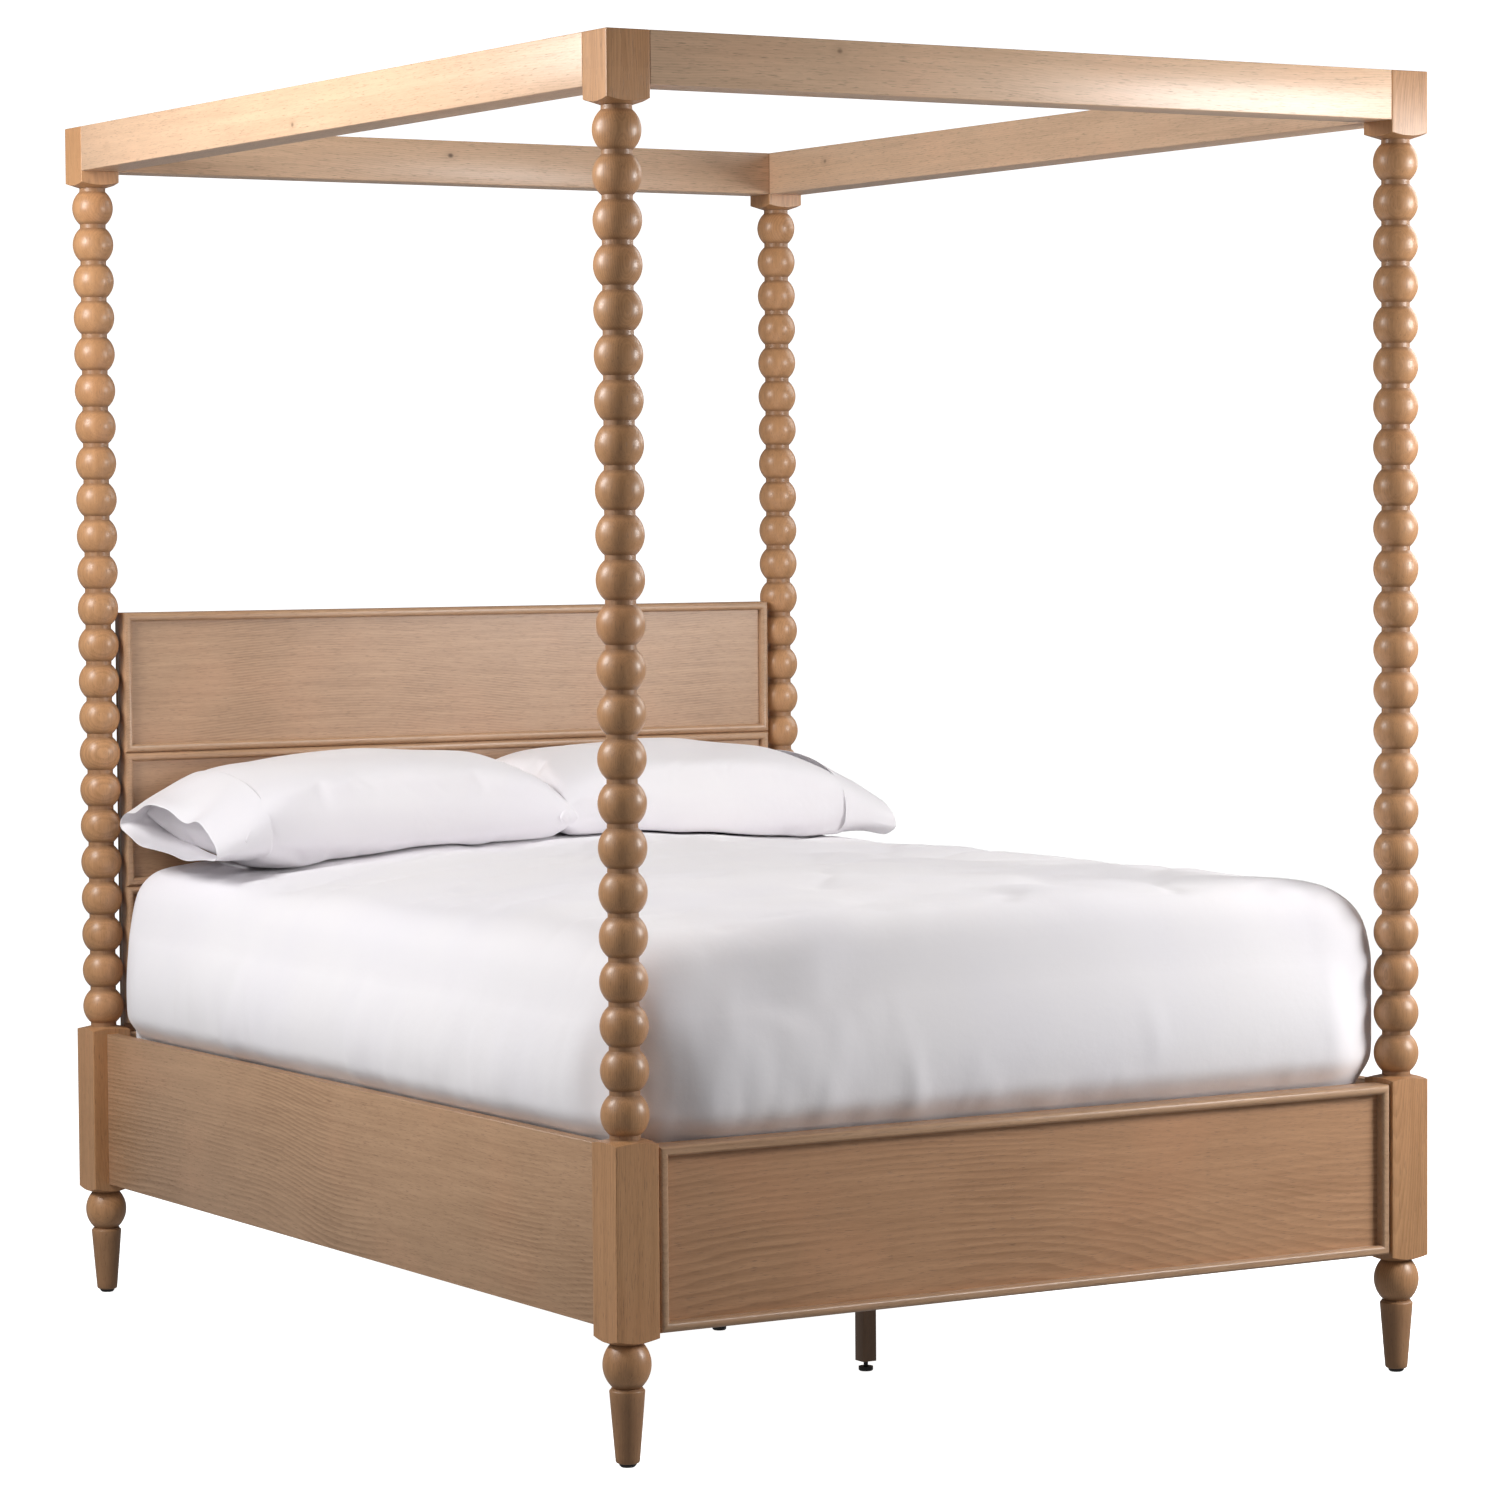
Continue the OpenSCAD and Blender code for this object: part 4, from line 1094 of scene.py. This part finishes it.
def hem_mesh(name, sign, start, end, half_width, thick):
    """The open end of a pillowcase: a soft flattened tube that sags at its mouth."""
    rings, around_tube = 14, 72
    verts = []
    for k in range(rings + 1):
        share = k / rings
        x = start + (end - start) * share
        width = half_width * (0.965 + 0.045 * share)
        top = thick * (0.62 - 0.30 * share)
        under = thick * (0.36 - 0.22 * share)
        for i in range(around_tube):
            angle = 2 * math.pi * i / around_tube
            y = width * math.cos(angle)
            swell = math.copysign(abs(math.sin(angle)) ** 0.75, math.sin(angle))
            z = (top if swell > 0 else under) * swell
            z -= 0.022 * share ** 1.5
            ripple = noise.noise(Vector((y * 11.0, share * 1.5, sign * (2.0 + (swell > 0)))))
            z += 0.016 * share * ripple
            verts.append((sign * (x + 0.010 * share * noise.noise(Vector((y * 7.0, 4.0, sign)))), y, z))
    faces = []
    for k in range(rings):
        for i in range(around_tube):
            j = (i + 1) % around_tube
            a, b = k * around_tube, (k + 1) * around_tube
            faces.append((a + i, a + j, b + j, b + i))
    return mesh_from(name, verts, faces)


def plump(obj, cap, pressure):
    """Swells a pillow with the cloth simulation, moving no point further than the cap."""
    before = np.zeros(len(obj.data.vertices) * 3)
    obj.data.vertices.foreach_get("co", before)
    cloth = obj.modifiers.new("Cloth", "CLOTH")
    cloth.settings.quality = 5
    cloth.settings.mass = 0.2
    cloth.settings.tension_stiffness = 18
    cloth.settings.compression_stiffness = 9
    cloth.settings.bending_stiffness = 0.12
    cloth.settings.use_pressure = True
    cloth.settings.uniform_pressure_force = pressure
    cloth.settings.shrink_min = -0.02
    cloth.settings.effector_weights.gravity = 0
    scene = bpy.context.scene
    for step in range(1, 19):
        scene.frame_set(step)
    applied(obj)
    scene.frame_set(1)
    after = np.zeros_like(before)
    obj.data.vertices.foreach_get("co", after)
    move = (after - before).reshape(-1, 3)
    far = np.linalg.norm(move, axis=1, keepdims=True)
    move *= np.minimum(1.0, cap / np.maximum(far, 1e-9))
    obj.data.vertices.foreach_set("co", (before.reshape(-1, 3) + move).ravel())
    obj.data.update()


class CANOPYBED_OT_pillows(bpy.types.Operator):
    """Fill the two pillows and lay their cases"""

    bl_idname = "canopy_bed.pillows"
    bl_label = "Pillows"

    def execute(self, context):
        crown = settings().bedding.pillow_crown
        fabric = cotton("pillow_cotton", settings().finishes.cotton)
        for name, sign, seed in (("left", -1, 2.0), ("right", 1, 11.0)):
            low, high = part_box("pillow_" + name)
            mesh = pillow_mesh("pillow_fill_" + name, 0.740, 0.480, crown, seed)
            pillow = new_piece("pillow_case_" + name, mesh, ("pillow_" + name,),
                               sharp=None, finish=(fabric,))
            plump(pillow, 0.016, 2.5)
            tilt = Euler((math.radians(4), math.radians(sign * 1.5), 0)).to_matrix().to_4x4()
            centre = Vector(((low.x + high.x) / 2 - sign * 0.030, (low.y + high.y) / 2 - 0.005,
                             low.z + crown * 0.36))
            lie = Matrix.Translation(centre) @ tilt
            pillow.data.transform(lie)
            self.rest(pillow)
            smooth = pillow.modifiers.new("Smooth", "SUBSURF")
            smooth.levels = 1
            smooth.render_levels = 1
            applied(pillow)
            pillow.data.shade_smooth()
            self.hem(name, sign, crown, lie, fabric)
        return {"FINISHED"}

    @classmethod
    def hem(cls, name, sign, crown, lie, fabric):
        """Lays the open end of a case past the end of its pillow."""
        start, half_width = 0.300, 0.232
        reach = settings().bedding.hem
        mesh = hem_mesh("case_hem_" + name, sign, start, start + reach, half_width, crown)
        hem = new_piece("case_hem_" + name, mesh, sharp=None, finish=(fabric,))
        hem.data.transform(lie)
        cls.rest(hem)
        cloth = hem.modifiers.new("Cloth", "SOLIDIFY")
        cloth.thickness = 0.0016
        applied(hem)
        smooth = hem.modifiers.new("Smooth", "SUBSURF")
        smooth.levels = smooth.render_levels = 1
        applied(hem)
        hem.data.shade_smooth()

    @staticmethod
    def rest(pillow):
        """Shapes the underside of a pillow or a hem to the duvet that it lies on."""
        cover = bpy.data.objects["duvet_cover"].data
        surface = BVHTree.FromPolygons(
            [v.co for v in cover.vertices], [tuple(f.vertices) for f in cover.polygons])
        for vertex in pillow.data.vertices:
            over = Vector((vertex.co.x, vertex.co.y, BED_TOP))
            place = surface.ray_cast(over, Vector((0, 0, -1)))[0]
            if place is not None:
                vertex.co.z = max(vertex.co.z, place.z + 0.005)
        pillow.data.update()


# ---- studio ----

class CANOPYBED_OT_studio(bpy.types.Operator):
    """Set the floor, the lights and the camera"""

    bl_idname = "canopy_bed.studio"
    bl_label = "Studio"

    def execute(self, context):
        sizes = settings().studio
        scene = context.scene
        scene.view_settings.view_transform = "Standard"
        self.backdrop(sizes)
        for name, place, target, size, power in (
                ("key", (-2.9, 0.2, 2.7), (-0.7, 0, 2.1), 1.2, sizes.key),
                ("side", (-4.6, -0.6, 3.0), (0, 0, 1.0), 3.0, sizes.side),
                ("front", (2.4, -2.8, 1.9), (0.3, -0.9, 0.9), 1.2, sizes.front),
                ("fill", (4.6, 0.4, 3.4), (0, 0, 1.2), 3.0, sizes.fill)):
            self.light(name, place, target, size, power)
        world = bpy.data.worlds.new("studio")
        world.use_nodes = True
        sky = Finish("studio", world.node_tree)
        rise = sky.number("SeparateXYZ", sockets={"Vector": sky.add("TexCoord").outputs["Generated"]}, out=2)
        shade = sky.mix(rise.between(-0.25, 0.35), (sizes.ground,) * 3, (sizes.sky,) * 3)
        glow = sky.add("Background", sockets={"Color": shade})
        sky.join(glow.outputs[0], sky.add("OutputWorld").inputs[0])
        scene.world = world
        camera = bpy.data.cameras.new("camera")
        camera.lens = sizes.lens
        camera.sensor_width = 36
        camera.clip_end = 100
        eye = bpy.data.objects.new("camera", camera)
        yaw, pitch, roll = (math.radians(a) for a in (-31.031, -2.766, -0.409))
        forward = Vector((-math.sin(yaw) * math.cos(pitch), math.cos(yaw) * math.cos(pitch), math.sin(pitch)))
        right = Vector((math.cos(yaw), math.sin(yaw), 0))
        up = right.cross(forward)
        right_rolled = right * math.cos(roll) + up * math.sin(roll)
        up_rolled = up * math.cos(roll) - right * math.sin(roll)
        rotation = Matrix((right_rolled, up_rolled, -forward)).transposed().to_4x4()
        eye.matrix_world = Matrix.Translation((-4.499, -7.615, 1.511)) @ rotation
        scene.collection.objects.link(eye)
        scene.camera = eye
        return {"FINISHED"}

    @staticmethod
    def backdrop(sizes):
        """A pale floor and a white dome far behind it; neither throws light back on the bed."""
        far = 40.0
        ground = bpy.data.meshes.new("floor")
        ground.from_pydata(
            [(-far, -far, 0), (far, -far, 0), (far, far, 0), (-far, far, 0)], [], [(0, 1, 2, 3)])
        dome = bpy.data.meshes.new("backdrop")
        work = bmesh.new()
        bmesh.ops.create_uvsphere(work, u_segments=48, v_segments=24, radius=far * 0.9)
        work.to_mesh(dome)
        work.free()
        for mesh, glow in ((ground, sizes.floor_glow), (dome, 1.0)):
            obj = bpy.data.objects.new(mesh.name, mesh)
            bpy.context.scene.collection.objects.link(obj)
            finish = Finish(mesh.name + "_paint")
            soft = finish.cloud(finish.coords, 0.8, 2.0, 0.5)
            paint = finish.mix(soft * 0.1, tuple(sizes.floor), tuple(0.97 * c for c in sizes.floor))
            dress(obj, finish.surface({
                "Base Color": paint, "Roughness": 0.9, "Specular IOR Level": 0.1,
                "Emission Color": (1.0, 1.0, 1.0), "Emission Strength": glow}))
            obj.visible_diffuse = obj.visible_glossy = obj.visible_transmission = False
            obj.visible_shadow = False

    @staticmethod
    def light(name, place, target, size, power):
        data = bpy.data.lights.new(name, "AREA")
        data.shape = "SQUARE"
        data.size = size
        data.energy = power
        obj = bpy.data.objects.new(name, data)
        obj.location = place
        aim = Vector(target) - Vector(place)
        obj.rotation_euler = aim.to_track_quat("-Z", "Y").to_euler()
        bpy.context.scene.collection.objects.link(obj)


class CANOPYBED_PT_sidebar(bpy.types.Panel):
    """Lists the pieces of the bed"""

    bl_idname = "CANOPYBED_PT_sidebar"
    bl_label = "Canopy Bed"
    bl_space_type = "VIEW_3D"
    bl_region_type = "UI"
    bl_category = "Canopy Bed"

    def draw(self, context):
        bed = context.scene.canopy_bed
        for operator in OPERATORS:
            self.layout.operator(operator.bl_idname)
        for group in (bed.posts, bed.boards, bed.bedding, bed.finishes, bed.studio):
            box = self.layout.box()
            for name in group.__annotations__:
                box.prop(group, name)


OPERATORS = (
    CANOPYBED_OT_studio, CANOPYBED_OT_posts, CANOPYBED_OT_rails, CANOPYBED_OT_panels,
    CANOPYBED_OT_base, CANOPYBED_OT_hardware, CANOPYBED_OT_mattress, CANOPYBED_OT_duvet,
    CANOPYBED_OT_pillows,
)
CLASSES = (
    PostSizes, BoardSizes, BeddingSizes, Finishes, StudioSizes, CanopyBed,
    *OPERATORS, CANOPYBED_PT_sidebar,
)


def register():
    for cls in CLASSES:
        bpy.utils.register_class(cls)
    bpy.types.Scene.canopy_bed = bpy.props.PointerProperty(type=CanopyBed)


def unregister():
    del bpy.types.Scene.canopy_bed
    for cls in reversed(CLASSES):
        bpy.utils.unregister_class(cls)


def main():
    register()
    for operator in OPERATORS:
        group, name = operator.bl_idname.split(".")
        getattr(getattr(bpy.ops, group), name)()


if __name__ == "__main__":
    main()
